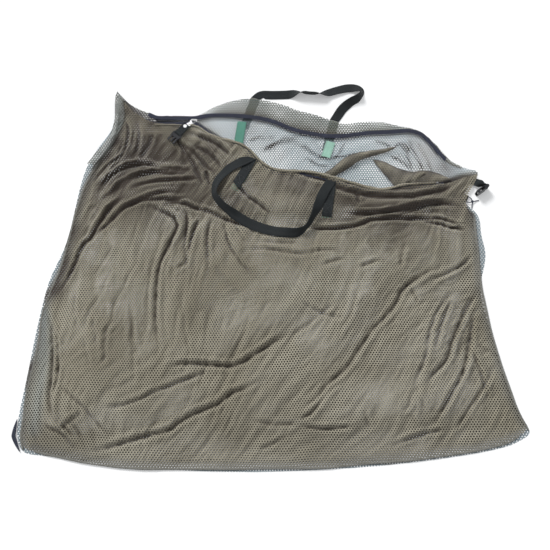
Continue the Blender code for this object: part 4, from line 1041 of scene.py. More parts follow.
class Press(Enum):
    """How a crease is pressed: depth (negative stands up), half width and painted shade along it."""

    DEEP = (0.0094, 0.0043, 0.56)
    CLEAR = (0.0070, 0.0038, 0.42)
    SOFT = (0.0040, 0.0040, 0.18)
    RIDGE = (-0.0060, 0.0100, 0.0)
    LINE = (-0.0040, 0.0038, 0.42)


@dataclass(frozen=True)
class Crease:
    """A crease line, as pixels of the photograph in order along it."""

    press: Press
    pixels: Pixels

    def apply(self, plan: Array, line: Array) -> tuple[Array, Array, Array]:
        """What the crease does to a cloth.

        Args:
            plan: the cloth's plan points.
            line: the crease's own plan points.

        Returns:
            The numbers of the vertices it touches, and their change of height and of painted shade.
        """
        depth, width, dark = self.press.value
        curve = smooth(line, max(int(length_of(line) / 0.02), 6))
        reach = 5.5 * width
        low, high = curve.min(0) - reach, curve.max(0) + reach
        near = np.nonzero(((plan > low) & (plan < high)).all(1))[0]
        away, share, _ = nearest_on(curve, plan[near])
        fade = ease(share / 0.22) * ease((1 - share) / 0.22)
        flank = np.where(away > 0, 0.70, 0.30)
        distance = np.abs(away)
        if depth < 0:
            part = fade * np.exp(-((distance / width) ** 2))
            return near, -depth * part, dark * part
        wander = 0.55 + 0.75 * (0.5 + ripple(plan[near], 0.022, 5.5) * 0.5)
        depth, dark = depth * wander, dark * np.minimum(wander, 1.1)
        valley = -depth * np.exp(-distance / width)
        shoulder = depth * flank * np.exp(-(((distance - 2.6 * width) / (1.3 * width)) ** 2))
        return near, fade * (valley + shoulder), dark * fade * np.exp(-((distance / (0.8 * width)) ** 2))


def creases(press: Press, *lines: Pixels) -> list[Crease]:
    """Several creases of one press."""
    return [Crease(press, line) for line in lines]


FRONT_CREASES = [
    *creases(
        Press.DEEP,
        ((188, 132), (198, 136), (208, 140), (218, 145), (226, 151), (232, 158)),
        ((41, 304), (46, 318), (49, 336), (50, 356), (50, 376), (48, 394), (50, 412), (57, 427)),
        ((170, 134), (178, 142), (186, 152), (193, 163), (198, 174), (203, 186)),
        ((96, 186), (106, 177), (118, 170), (132, 166), (148, 165), (162, 168)),
        ((50, 298), (64, 276), (72, 264), (80, 248), (90, 238), (100, 222), (110, 208), (122, 198),
         (130, 192)),
        ((146, 202), (158, 210), (168, 214), (176, 220), (177, 228), (170, 242), (164, 254), (159, 266),
         (157, 280), (156, 296), (155, 314), (156, 330), (158, 356)),
        ((340, 212), (356, 214), (376, 214), (392, 212), (412, 208), (432, 204), (450, 200), (462, 198)),
        ((260, 164), (272, 168), (290, 172), (310, 176), (326, 180), (340, 188), (354, 193), (372, 196),
         (392, 197), (412, 197), (426, 194), (440, 191), (452, 184), (462, 178)),
        ((480, 282), (472, 298), (464, 312), (458, 328), (452, 342), (448, 358), (440, 368), (430, 378),
         (424, 390)),
        ((474, 306), (472, 324), (470, 342), (466, 362), (462, 376), (454, 390), (448, 402), (440, 414),
         (434, 426), (430, 432)),
        ((448, 261), (436, 268), (424, 274), (412, 282), (404, 288), (400, 294), (396, 304), (388, 314),
         (380, 322), (372, 330), (364, 342), (356, 354), (348, 366), (340, 374), (328, 384), (318, 396),
         (306, 406), (296, 416), (286, 422)),
        ((76, 450), (96, 449), (118, 444), (138, 438), (154, 434), (170, 430), (182, 420), (198, 412),
         (218, 404),
         (230, 394), (246, 388), (260, 380), (272, 372)),
        ((162, 368), (182, 364), (202, 364), (222, 366), (238, 365), (246, 360), (262, 350), (280, 338),
         (290, 336)),
    ),
    *creases(
        Press.CLEAR,
        ((134, 120), (138, 132), (138, 144), (134, 156)),
        ((152, 128), (151, 140), (146, 151), (138, 160)),
        ((121, 120), (125, 132), (123, 144), (117, 155)),
        ((108, 196), (120, 184), (136, 176), (154, 173), (172, 174), (188, 172)),
        ((122, 210), (138, 202), (156, 199), (174, 200), (190, 198)),
        ((232, 178), (240, 188), (250, 198), (262, 206), (272, 216)),
        ((497, 348), (503, 366), (509, 386), (514, 402)),
        ((469, 346), (477, 362), (484, 382), (488, 400)),
        ((58, 432), (66, 424), (74, 418), (83, 411)),
        ((54, 418), (60, 425), (68, 431), (76, 438)),
        ((452, 296), (446, 312), (440, 330), (436, 350)),
        ((196, 146), (206, 152), (216, 160), (222, 170)),
        ((87, 181), (96, 168), (104, 160), (116, 155), (125, 151)),
        ((130, 190), (142, 184), (162, 181), (180, 180), (202, 178)),
        ((90, 244), (100, 230), (110, 222), (122, 210), (134, 202), (150, 196), (166, 192), (180, 192)),
        ((180, 142), (190, 150), (200, 160), (210, 170), (215, 174)),
        ((206, 170), (208, 178), (210, 186)),
        ((158, 204), (180, 203), (194, 208), (210, 212), (226, 220), (246, 226), (260, 234)),
        ((286, 224), (310, 228), (326, 229), (344, 228), (360, 225), (372, 220), (388, 219), (404, 219),
         (420, 219), (440, 219), (460, 218), (472, 216)),
        ((420, 222), (436, 223), (450, 227), (472, 230)),
        ((184, 206), (187, 218), (186, 234), (184, 250), (188, 260), (180, 266), (170, 272)),
        ((200, 218), (194, 230), (190, 242), (188, 256)),
        ((212, 218), (208, 230), (207, 246), (208, 260), (207, 282)),
        ((224, 222), (227, 238), (232, 250), (240, 262), (250, 272), (256, 280)),
        ((96, 408), (118, 406), (138, 400), (154, 392), (170, 386), (190, 378), (206, 372), (212, 367)),
        ((60, 384), (70, 396), (82, 406), (94, 420), (104, 430), (112, 436)),
        ((42, 422), (50, 430), (62, 434), (72, 446), (80, 450)),
        ((482, 252), (472, 260), (458, 268), (446, 274), (436, 278), (426, 282)),
        ((340, 380), (326, 394), (308, 416), (290, 418)),
        ((456, 288), (444, 302), (438, 310), (434, 320), (430, 330), (428, 346), (424, 362), (418, 376),
         (412, 388)),
        ((496, 362), (488, 380), (478, 396), (468, 410), (460, 424), (452, 434)),
        ((388, 450), (404, 442), (420, 436), (436, 432), (448, 430)),
        ((300, 426), (320, 429), (340, 428), (356, 426)),
        ((46, 312), (50, 325), (55, 340), (57, 358), (57, 375), (54, 388), (50, 400), (47, 412)),
        ((346, 188), (356, 193), (359, 204)),
    ),
    *creases(
        Press.SOFT,
        ((91, 314), (94, 330), (96, 346), (98, 362)),
        ((107, 320), (106, 336), (104, 352), (103, 366)),
        ((131, 296), (132, 320), (132, 344), (133, 368), (133, 388)),
        ((82, 330), (84, 344), (87, 358), (90, 370)),
        ((214, 262), (222, 276), (232, 288), (244, 298)),
        ((300, 300), (314, 310), (330, 316), (348, 318)),
        ((250, 420), (270, 424), (292, 424), (312, 418)),
        ((180, 300), (184, 318), (186, 338), (190, 356)),
        ((96, 202), (110, 194), (126, 184), (140, 176), (164, 171), (200, 170)),
        ((182, 150), (184, 158), (185, 164)),
        ((159, 244), (154, 260), (150, 276), (148, 290), (147, 306), (145, 318)),
        ((174, 230), (170, 244), (168, 256), (164, 270), (162, 284)),
        ((234, 222), (240, 234), (246, 244)),
        ((240, 250), (266, 249), (300, 254), (320, 250), (345, 250)),
        ((258, 242), (280, 243), (300, 243)),
        ((114, 244), (106, 256), (98, 268), (94, 278)),
        ((140, 258), (130, 272), (122, 290), (114, 302), (110, 322), (104, 334), (103, 348), (106, 356),
         (104, 366)),
        ((116, 262), (106, 280), (100, 294), (90, 308), (84, 326), (82, 336)),
        ((130, 306), (131, 320), (132, 336), (136, 350), (137, 362)),
        ((75, 290), (74, 306), (76, 330)),
        ((48, 410), (60, 420), (72, 426), (86, 440)),
        ((258, 452), (278, 442), (290, 432)),
        ((340, 300), (328, 308), (316, 318), (304, 328), (290, 336)),
        ((360, 286), (354, 302), (350, 316), (340, 330), (336, 342)),
        ((476, 345), (486, 350), (496, 356), (500, 358)),
        ((414, 388), (410, 398), (408, 408), (400, 410)),
        ((422, 398), (423, 404), (424, 410)),
        ((412, 414), (414, 420), (416, 426)),
        ((364, 410), (368, 424), (372, 430)),
        ((320, 266), (330, 262), (346, 258)),
        ((358, 268), (368, 264), (382, 259)),
        ((406, 240), (402, 254), (400, 270)),
        ((408, 286), (414, 294), (418, 304)),
        ((370, 220), (384, 219), (400, 216), (416, 210), (432, 206)),
    ),
    *creases(
        Press.RIDGE,
        ((88, 182), (104, 172), (124, 163), (142, 159), (158, 160)),
        ((94, 202), (106, 190), (122, 180), (134, 172), (150, 167), (170, 166), (190, 167), (202, 165)),
        ((352, 204), (380, 204), (410, 202), (440, 196)),
    ),
]

BACK_CREASES = [
    *creases(
        Press.LINE,
        ((257, 153), (264, 149), (272, 145), (281, 140), (290, 137), (298, 134), (304, 134), (310, 138),
         (315, 144),
         (320, 150)),
        ((259, 152), (267, 147), (275, 143), (283, 141), (291, 140), (299, 139)),
        ((246, 141), (252, 139), (258, 137), (266, 137), (276, 138)),
        ((290, 142), (298, 144), (305, 146), (311, 151), (318, 156), (330, 157), (344, 156), (352, 153),
         (362, 151)),
        ((304, 155), (312, 161), (320, 165), (330, 165)),
        ((345, 140), (341, 148), (337, 155), (330, 161)),
        ((404, 136), (409, 144), (414, 153), (419, 163), (424, 172)),
        ((414, 138), (421, 149), (428, 163), (433, 177)),
        ((440, 160), (445, 167), (449, 178)),
        ((393, 149), (396, 144), (401, 143), (406, 146), (409, 153)),
        ((386, 154), (396, 158), (404, 163), (411, 170)),
        ((372, 140), (384, 143), (392, 148)),
        ((396, 140), (404, 150), (408, 160), (412, 172)),
    ),
    *creases(
        Press.RIDGE,
        ((300, 136), (309, 142), (316, 151), (323, 160)),
        ((403, 138), (415, 152), (427, 170)),
        ((392, 150), (408, 158), (420, 170)),
    ),
]


@dataclass(frozen=True)
class Hollow:
    """How hollows of one width get painted shade: smoothing rounds, full depth, lowest value and darkness.
    """

    rounds: int
    depth: float
    crest: float
    dark: float


NARROW_HOLLOW = Hollow(8, 0.0045, -0.3, 0.45)
WIDE_HOLLOW = Hollow(90, 0.0080, -0.2, 0.20)
LIT_FROM = (-0.50, 0.75, 0.0)
SLOPE_DARK = 0.45
STEEP_CLOSE = 0.20
DARK_CLOSE = 0.12
CLOSE_LIMIT = 0.35


@dataclass
class Sheet:
    """A panel of cloth while it is shaped: vertices, faces and what is painted on them."""

    points: Array
    faces: list
    # Painted shade of each vertex, from creases, hollows, gathered spots, edges and cover.
    dark: Array
    pale: Array
    close: Array

    @classmethod
    def over(cls, node: str, levels: int) -> "Sheet":
        """Takes the upper side of a construction panel and divides it finely and smoothly.

        Args:
            node: name of the panel's node.
            levels: how often its faces are divided.

        Returns:
            The plain sheet.
        """
        shape = bmesh.new()
        shape.from_mesh(frame["nodes"][node].data)
        bmesh.ops.remove_doubles(shape, verts=shape.verts, dist=1e-5)
        shape.normal_update()
        lower = [face for face in shape.faces if face.normal.z < 0.3]
        bmesh.ops.delete(shape, geom=lower, context="FACES")
        limit = math.pi
        bmesh.ops.join_triangles(shape, faces=shape.faces, angle_face_threshold=limit,
                                 angle_shape_threshold=limit)
        mesh = bpy.data.meshes.new("panel_start")
        shape.to_mesh(mesh)
        shape.free()
        start = bpy.data.objects.new("panel_start", mesh)
        bpy.context.scene.collection.objects.link(start)
        divide = start.modifiers.new("divide", "SUBSURF")
        divide.levels = divide.render_levels = levels
        fine = start.evaluated_get(bpy.context.evaluated_depsgraph_get()).to_mesh()
        points = np.empty(len(fine.vertices) * 3)
        fine.vertices.foreach_get("co", points)
        faces = [tuple(polygon.vertices) for polygon in fine.polygons]
        bpy.data.objects.remove(start)
        points = points.reshape(-1, 3)
        return cls(points, faces, *np.zeros((3, len(points))))

    def bed(self) -> Bed:
        """The sheet as something that others lie on."""
        return Bed(self.points, self.faces)

    def crease(self, marks: list[Crease], strength: Array) -> None:
        """Presses creases into the sheet and paints shade along them.

        Args:
            marks: the creases.
            strength: how much of each crease every vertex takes, from 0 to 1.
        """
        bed = self.bed()
        plan = self.points[:, :2]
        rise = np.zeros(len(plan))
        for mark in marks:
            near, change, dark = mark.apply(plan, bed.trace(mark.pixels))
            rise[near] += change
            self.dark[near] = np.maximum(self.dark[near], dark)
        self.points[:, 2] += rise * strength

    def rumple(self, headings: Pair, amounts: Triple,
               strength: Array) -> None:
        """Adds long soft folds, shorter wrinkles and small puckers that run one way.

        Args:
            headings: directions of the wrinkles at the sack's left and right, in degrees from +X.
            amounts: heights of the long folds, the wrinkles and the puckers.
            strength: how much of it every vertex takes, from 0 to 1.
        """
        plan = self.points[:, :2]
        bend = ripple(plan, 0.30, 4.7) * math.radians(16)
        across_sack = np.clip((plan[:, 0] + 0.5) / 0.9, 0, 1)
        angle = np.radians(headings[0] * (1 - across_sack) + headings[1] * across_sack) + bend
        run = plan[:, 0] * np.cos(angle) + plan[:, 1] * np.sin(angle)
        across = -plan[:, 0] * np.sin(angle) + plan[:, 1] * np.cos(angle)
        rise = np.zeros(len(plan))
        scales = ((0.24, 0.048, 1.3), (0.100, 0.022, 7.9), (0.038, 0.010, 13.1))
        for amount, (length, width, seed) in zip(amounts, scales):
            wave = ripple(np.column_stack([run * width / length, across]), width, seed)
            ridge = 0.35 - np.abs(wave)
            rise += amount * ridge
        self.points[:, 2] += rise * strength

    def softened(self, values: Array, rounds: int) -> Array:
        """Evens values out over neighbouring vertices.

        Args:
            values: one value a vertex.
            rounds: how often it is done.

        Returns:
            The evened values.
        """
        rings = np.array([face for face in self.faces if len(face) == 4])
        ends = np.vstack([rings[:, (k, (k + 1) % 4)] for k in range(4)])
        count = len(self.points)
        degree = 1 + np.bincount(ends[:, 0], minlength=count) + np.bincount(ends[:, 1], minlength=count)
        for _ in range(rounds):
            total = values + np.bincount(ends[:, 0], values[ends[:, 1]], count)
            total += np.bincount(ends[:, 1], values[ends[:, 0]], count)
            values = total / degree
        return values

    def slopes(self) -> Array:
        """Finds the direction that each vertex faces.

        Returns:
            One unit normal a vertex.
        """
        rings = np.array([face for face in self.faces if len(face) == 4])
        one = self.points[rings[:, 2]] - self.points[rings[:, 0]]
        two = self.points[rings[:, 3]] - self.points[rings[:, 1]]
        cross = np.cross(one, two)
        normal = np.zeros_like(self.points)
        for k in range(4):
            for axis in range(3):
                normal[:, axis] += np.bincount(rings[:, k], cross[:, axis], len(self.points))
        return unit(normal)

    def shade(self, depth: float = 1.0) -> None:
        """Darkens hollows and slopes that face away from the lamp, and closes the mesh on steep ones.

        Args:
            depth: how strong the darkening is.
        """
        height = self.points[:, 2]
        for hollow in (NARROW_HOLLOW, WIDE_HOLLOW):
            below = (self.softened(height, hollow.rounds) - height) / hollow.depth
            self.dark += depth * hollow.dark * np.clip(below, hollow.crest, 1.0)
        normal = self.slopes()
        away = -(normal @ np.array(LIT_FROM))
        self.dark += depth * SLOPE_DARK * np.clip(away, -0.5, 1.0)
        steep = np.hypot(normal[:, 0], normal[:, 1])
        self.close += np.clip(STEEP_CLOSE * steep + DARK_CLOSE * self.dark, 0, CLOSE_LIMIT)

    def near_pixels(self, pixels: Pixels, reach: float) -> Array:
        """How near each vertex is to a line of pixels, from 1 on it to 0 beyond the reach."""
        line = self.bed().trace(pixels)
        return 1 - ease(np.abs(nearest_on(line, self.points[:, :2])[0]) / reach)

    def tone(self, spots: Spots) -> None:
        """Paints shade over gathered regions, which also stands for the mesh lying there in many layers.

        Args:
            spots: pixel across and down, radius in metres and amount of each region.
        """
        bed = self.bed()
        for u, v, radius, amount in spots:
            centre = np.array(bed.seen((u, v), 0.02))
            away = np.linalg.norm(self.points[:, :2] - centre[:2], axis=1)
            part = np.exp(-((away / radius) ** 2))
            self.dark += amount * part

    def join(self, points: Array, faces: list, dark: Array, pale: float, close: float) -> None:
        """Adds a folded flap to the sheet.

        Args:
            points: the flap's vertices.
            faces: its faces, as tuples of its own vertex numbers.
            dark: how much painted shade each of its vertices has.
            pale: how pale all of it is.
            close: how closed its holes are.
        """
        first = len(self.points)
        self.points = np.vstack([self.points, points])
        self.dark = np.concatenate([self.dark, dark])
        self.pale = np.concatenate([self.pale, np.full(len(points), pale)])
        self.close = np.concatenate([self.close, np.full(len(points), close)])
        self.faces = self.faces + [tuple(v + first for v in face) for face in faces]

    def piece(self, name: str, finish: Material, body: str, slot: str,
              replaced: tuple[str, ...]) -> bpy.types.Object:
        """Makes the sheet a piece of its own.

        Args:
            name: the piece's name.
            finish: the mesh's material.
            body: the body that carries the piece.
            slot: the record's material slot; not used.
            replaced: the construction nodes that the piece stands for.

        Returns:
            The new object.
        """
        piece = add_piece(name, self.points, self.faces, finish, body, replaced)
        paint(piece, fold=self.dark, pale=self.pale, close=self.close)
        return piece


@dataclass(frozen=True)
class Flap:
    """Cloth folded over on itself, between two lines of pixels."""

    first: Pixels
    second: Pixels
    lift: float
    dark: float
    pale: float = 0.0
    close: float = 0.35
    height: float = 0.02

    def grid(self, bed: Bed, rows: int = 9, pitch: float = 0.004) -> tuple[Array, list, Array]:
        """The flap as a fine patch over a bed.

        Args:
            bed: what the flap lies on.
            rows: points across the flap.
            pitch: distance between points along it.

        Returns:
            Vertices, faces and painted shade, which is deeper along both edges.
        """
        rails = [np.array([bed.seen(p, self.height) for p in side]) for side in (self.first, self.second)]
        count = max(int(max(length_of(r) for r in rails) / pitch), 6)
        rails = [smooth(r, count) for r in rails]
        shares = np.linspace(0, 1, rows)
        spots = np.array([rails[0][k] * (1 - t) + rails[1][k] * t for k in range(count) for t in shares])
        levels = np.array([bed.level(x, y, self.height) for x, y, _ in spots]).reshape(count, rows)
        levels = np.pad(levels, ((3, 3), (0, 0)), mode="edge")
        levels = np.mean([levels[j: j + count] for j in range(7)], axis=0)
        points, dark = [], []
        for k in range(count):
            for j, t in enumerate(shares):
                x, y, _ = spots[k * rows + j]
                crown = self.lift * (0.35 + 0.65 * math.sin(math.pi * min(max(t, 0.05), 0.95)))
                pucker = 0.0016 * math.sin(k * 0.75 + 2.5 * t) * math.sin(k * 0.23)
                points.append((x, y, levels[k, j] + crown + pucker))
                # Painted shade, deeper along both edges of the flap.
                edge = 0.45 * abs(2 * t - 1) ** 4
                dark.append(self.dark * (0.7 + 0.3 * math.sin(k * 0.31 + t * 4)) + edge)
        return np.array(points), grid_faces(count, rows), np.array(dark)


SIDES = ("left_side", "bottom", "right_side")
SACK_MIDDLE = (0.0, -0.1)


@dataclass
class Panels:
    """The two mesh panels of the sack, with the flaps that their spare cloth makes."""

    flat_width: float = 1.22
    flat_depth: float = 0.97
    levels: int = 3
    single_layer: float = 0.0012
    turn_in: float = 0.10
    back_headings: Pair = (20.0, 40.0)
    back_wrinkles: Triple = (0.0022, 0.0014, 0.0010)
    front_headings: Pair = (78.0, 50.0)
    front_wrinkles: Triple = (0.0036, 0.0034, 0.0022)
    back_margin: float = 0.06
    front_margin: float = 0.05
    sunk_margin: float = 0.03
    sunk_share: float = 0.6
    edge_margin: float = 0.025
    edge_pale: float = 0.22
    edge_dark: float = 0.34
    back_edge_dark: float = 0.18
    back_edge_close: float = 0.25
    back_shade: float = 0.6
    calm_line: Pixels = ((270, 190), (350, 200), (430, 195))
    calm_reach: float = 0.10
    calm_share: float = 0.6
    pale_strip: Pixels = ((42, 312), (45, 330), (45, 350), (43, 372), (38, 395), (34, 430))
    pale_strip_reach: float = 0.03
    pale_strip_share: float = 0.35
    low_shade: float = 0.66
    high_shade: float = 1.20
    shade_from: float = -0.06
    shade_over: float = 0.20
    collar: Pixels = ((330, 184), (350, 192), (375, 197), (405, 198), (435, 192), (458, 182))
    collar_reach: float = 0.05
    clip_way: Pixels = ((130, 118), (145, 122), (160, 124), (175, 126), (188, 127))
    clip_reach: float = 0.04
    clip_room: float = 0.0024
    hidden_by_lip: float = 0.013
    mouth_crease_dark: float = 1.3
    mouth_crease_close: float = 0.8
    mouth_crease_from: float = 0.12
    inside_dark: float = 0.9
    inside_close: float = 0.34
    patch_close: float = 0.35
    collar_close: float = 0.9
    thin_share: float = 0.75
    thin_spots: tuple[Triple, ...] = (
        (150, 292, 0.022), (152, 306, 0.020), (300, 358, 0.022), (303, 244, 0.022), (312, 234, 0.018),
        (426, 240, 0.026), (432, 258, 0.022), (382, 384, 0.024), (385, 408, 0.026), (388, 428, 0.020),
        (430, 322, 0.018), (410, 350, 0.020), (296, 376, 0.016), (345, 212, 0.016), (242, 300, 0.016),
        (100, 420, 0.020), (230, 455, 0.020),
    )
    left_inner: Pixels = (
        (121, 108), (119, 120), (116, 136), (110, 148), (99, 162), (89, 178), (83, 190), (75, 215),
        (69, 240), (60, 270), (51, 290), (47, 300), (43, 310), (40, 325), (39, 340), (36, 355), (32, 370),
        (28, 385), (25, 400), (23, 420), (22, 435), (24, 448),
    )
    right_inner: Pixels = (
        (474, 218), (478, 250), (482, 290), (491, 330), (503, 370), (516, 405), (527, 430),
    )
    bottom_inner: Pixels = (
        (24, 450), (55, 456), (85, 463), (115, 467), (145, 469), (235, 469), (325, 468), (355, 465),
        (385, 462), (415, 460), (445, 456), (475, 451), (505, 444), (528, 431),
    )
    back_flaps: tuple[Flap, ...] = (
        Flap(
            ((322, 175), (334, 167), (345, 158), (358, 153), (372, 151), (386, 149), (396, 147)),
            ((330, 179), (338, 175), (350, 168), (360, 161), (372, 157), (386, 153), (396, 148)),
            lift=0.0090, dark=0.60, close=0.85,
        ),
        Flap(
            ((372, 160), (381, 161), (392, 166), (402, 170), (412, 172), (426, 171), (438, 174), (450, 179)),
            ((373, 161), (379, 169), (387, 178), (396, 187), (410, 187), (424, 185), (438, 183), (451, 181)),
            lift=0.0075, dark=0.70, close=0.82,
        ),
        Flap(
            ((405, 182), (410, 176), (416, 173), (424, 172)),
            ((406, 185), (412, 184), (419, 181), (425, 176)),
            lift=0.0105, dark=0.75, close=0.80,
        ),
    )
    front_flaps: tuple[Flap, ...] = (
        Flap(
            ((117, 92.5), (115.5, 98), (115, 105), (115, 113), (114.5, 122), (111, 133), (105, 143),
             (96, 153), (87, 164)),
            ((118, 92.5), (122, 97), (124, 104), (125, 112), (124, 121), (120, 132), (114, 143),
             (106, 153), (95, 166)),
            lift=0.0060, dark=0.45, pale=0.50, close=0.15, height=0.012,
        ),
    )
    # Painted shade over gathered spots, which also stands for the mesh lying there in layers.
    gather_shade: Spots = (
        (150, 182, 0.12, 0.58), (105, 195, 0.09, 0.45), (72, 250, 0.09, 0.25), (195, 188, 0.09, 0.42),
        (160, 145, 0.06, 0.40), (130, 142, 0.06, 0.42), (400, 203, 0.11, 0.60), (345, 200, 0.08, 0.55),
        (455, 200, 0.08, 0.40), (300, 185, 0.07, 0.42), (400, 330, 0.16, 0.04), (450, 340, 0.10, 0.06),
        (230, 195, 0.07, 0.32), (35, 435, 0.05, 0.30), (285, 175, 0.05, 0.35), (126, 112, 0.022, 0.45),
        (140, 116, 0.020, 0.45), (152, 122, 0.018, 0.35), (124, 128, 0.016, 0.45), (117, 142, 0.016, 0.45),
        (107, 156, 0.016, 0.40), (150, 142, 0.030, 0.15), (56, 292, 0.025, 0.35), (170, 120, 0.04, 0.30),
        (225, 150, 0.05, 0.20), (195, 160, 0.04, 0.25), (212, 158, 0.05, 0.30), (118, 176, 0.07, 0.32),
        (395, 198, 0.09, 0.25), (122, 108, 0.03, 0.30), (64, 268, 0.035, 0.55), (240, 200, 0.05, 0.20),
        (57, 288, 0.03, 0.45), (75, 232, 0.03, 0.35), (180, 175, 0.06, 0.20), (140, 165, 0.05, 0.25),
        (212, 140, 0.04, 0.25), (205, 150, 0.03, 0.25), (185, 150, 0.03, 0.25), (250, 190, 0.04, 0.18),
    )
    # Painted shade over gathered spots in the mouth.
    mouth_gather_shade: Spots = (
        (246, 130, 0.028, 0.40), (262, 122, 0.025, 0.30), (345, 136, 0.022, 0.20), (403, 155, 0.035, 0.15),
        (280, 158, 0.020, 0.30), (436, 165, 0.040, 0.25), (420, 174, 0.030, 0.60), (446, 174, 0.025, 0.40),
        (250, 148, 0.018, 0.20), (384, 136, 0.020, 0.20), (134, 107, 0.022, 0.75), (146, 115, 0.022, 0.85),
        (156, 120, 0.020, 0.70), (440, 150, 0.030, 0.45), (425, 150, 0.040, 0.45), (268, 148, 0.040, 0.35),
        (412, 140, 0.030, 0.20), (452, 165, 0.025, 0.35), (400, 172, 0.020, 0.35), (300, 146, 0.030, 0.12),
    )
    back: Sheet = field(init=False)
    front: Sheet = field(init=False)
    front_bed: Bed = field(init=False)
    back_bed: Bed = field(init=False)

    def seam_lines(self) -> dict[str, Array]:
        """Reads the outer plan line of each side of the sack from the construction's seam rolls.

        Returns:
            The lines by side: left_side, bottom and right_side.
        """
        lines = {}
        for side in SIDES:
            rails = Rails.of(f"{side}_seam")
            plans = [rail[:, :2] for rail in (rails.left, rails.right)]
            lines[side] = max(plans, key=lambda plan: np.linalg.norm(plan - SACK_MIDDLE, axis=1).mean())
        return lines

    def drawn_in(self, plan: Array) -> Array:
        """Where plan points of the front panel lie once its edges are drawn in.

        Args:
            plan: plan points, one a row.

        Returns:
            The moved plan points. The back panel's single layer shows where they left.
        """
        inner = {"left_side": self.left_inner, "bottom": self.bottom_inner, "right_side": self.right_inner}
        moved = plan.copy()
        total = np.zeros_like(plan)
        weight = np.zeros(len(plan))
        for side, line in self.seam_lines().items():
            wanted = np.array([VIEW.ground(p, 0.006)[:2] for p in inner[side]])
            _, _, targets = nearest_on(wanted, line)
            pulls = targets - line
            away, share, _ = nearest_on(line, plan)
            marks = marks_of(line)
            pull = np.column_stack([np.interp(share, marks, pulls[:, k]) for k in (0, 1)])
            part = 1 - ease(np.abs(away) / self.turn_in)
            total += pull * part[:, None] ** 2
            weight += part
        moved += total / np.maximum(weight, 1e-6)[:, None] * (weight > 0)[:, None]
        return moved

    def from_seams(self, plan: Array) -> Array:
        """Distance of plan points from the nearest seam."""
        return np.min([np.abs(nearest_on(line, plan)[0]) for line in self.seam_lines().values()], axis=0)

    def shape_back(self) -> None:
        """Shapes the lower panel, which lies on the ground."""
        sheet = Sheet.over("back_panel", self.levels)
        inside = ease(self.from_seams(sheet.points[:, :2]) / self.back_margin)
        lowest = np.minimum(sheet.points[:, 2], 0.0006)
        sheet.rumple(self.back_headings, self.back_wrinkles, 0.3 + 0.7 * inside)
        sheet.crease(BACK_CREASES, 0.2 + 0.8 * inside)
        sheet.points[:, 2] = np.maximum(sheet.points[:, 2], lowest)
        sheet.shade(self.back_shade)
        # Painted shade, deeper along the mouth's strongest creases, over its gathered spots and towards the
        # seams, where the cloth also lies doubled.
        strong = np.clip(sheet.dark - self.mouth_crease_from, 0, 1)
        sheet.dark += self.mouth_crease_dark * strong
        sheet.close += self.mouth_crease_close * strong
        sheet.tone(self.mouth_gather_shade)
        sheet.pale += 1.0
        sheet.dark += self.back_edge_dark * (1 - inside)
        sheet.close += self.back_edge_close * (1 - inside)
        self.back = sheet
        self.back_bed = sheet.bed()

    def shape_front(self) -> None:
        """Shapes the upper panel: creases, wrinkles, and edges drawn in over the lower one."""
        sheet = Sheet.over("front_panel", self.levels)
        from_seam = self.from_seams(sheet.points[:, :2])
        inside = ease(from_seam / self.front_margin)
        sheet.crease(FRONT_CREASES, 0.15 + 0.85 * inside)
        calm = 1 - self.calm_share * sheet.near_pixels(self.calm_line, self.calm_reach)
        sheet.rumple(self.front_headings, self.front_wrinkles, (0.25 + 0.75 * inside) * calm)
        sheet.points[:, :2] = self.drawn_in(sheet.points[:, :2])
        sheet.points[:, 2] -= self.clip_room * sheet.near_pixels(self.clip_way, self.clip_reach)
        under = np.array([self.back_bed.level(x, y) for x, y in sheet.points[:, :2]]) + self.single_layer
        sink = (1 - ease(from_seam / self.sunk_margin)) * self.sunk_share
        sheet.points[:, 2] = np.maximum(sheet.points[:, 2] * (1 - sink) + under * sink, under)
        sheet.shade()
        # Painted shade, stronger towards the mouth, over gathered spots and along the drawn-in edges, where
        # they cast their shadow.
        upper = ease((sheet.points[:, 1] - self.shade_from) / self.shade_over)
        sheet.dark *= self.low_shade + (self.high_shade - self.low_shade) * upper
        sheet.tone(self.gather_shade)
        edge = 1 - ease(from_seam / self.edge_margin)
        sheet.pale += self.edge_pale * edge
        sheet.dark += self.edge_dark * edge
        sheet.pale += self.pale_strip_share * sheet.near_pixels(self.pale_strip, self.pale_strip_reach)
        self.front = sheet
        self.front_bed = sheet.bed()

    def shade_covered(self) -> None:
        """Paints the sack's inside shade on the lower panel where the upper one covers it."""
        sheet = self.back
        lip = self.hidden_by_lip
        plan = sheet.points[:, :2]
        covered = np.array([float(self.front_bed.level(x, y - lip, -1.0) > 0) for x, y in plan])
        covered = sheet.softened(covered, 3)
        patches = ease((ripple(plan, 0.05, 21.0) + 0.15) / 0.5)
        # Spots where the covered panel takes less painted shade and keeps its holes more open.
        thin = np.zeros(len(covered))
        for u, v, radius in self.thin_spots:
            away = np.linalg.norm(plan - np.array(VIEW.ground((u, v), 0.01))[:2], axis=1)
            thin = np.maximum(thin, np.exp(-((away / radius) ** 2)))
        covered = covered * (1 - self.thin_share * thin)
        sheet.dark += self.inside_dark * covered
        gathered = sheet.near_pixels(self.collar, self.collar_reach)
        closed = self.inside_close + self.patch_close * patches + self.collar_close * gathered
        sheet.close += covered * closed
        sheet.pale *= 1 - covered

    def add_flaps(self) -> None:
        """Joins the folded flaps to the panels that they belong to."""
        for sheet, bed, flaps in ((self.back, self.back_bed, self.back_flaps),
                                  (self.front, self.front_bed, self.front_flaps)):
            for flap in flaps:
                sheet.join(*flap.grid(bed), flap.pale, flap.close)

    def build(self) -> None:
        """Shapes both panels and makes them pieces."""
        self.shape_back()
        self.shape_front()
        self.shade_covered()
        self.add_flaps()
        lower = self.back.piece("back_panel_cloth", INSIDE_MESH.make(), "sack", "mesh_pale",
                                ("back_panel",))
        upper = self.front.piece("front_panel_cloth", OUTSIDE_MESH.make(), "sack", "mesh_khaki",
                                 ("front_panel",))


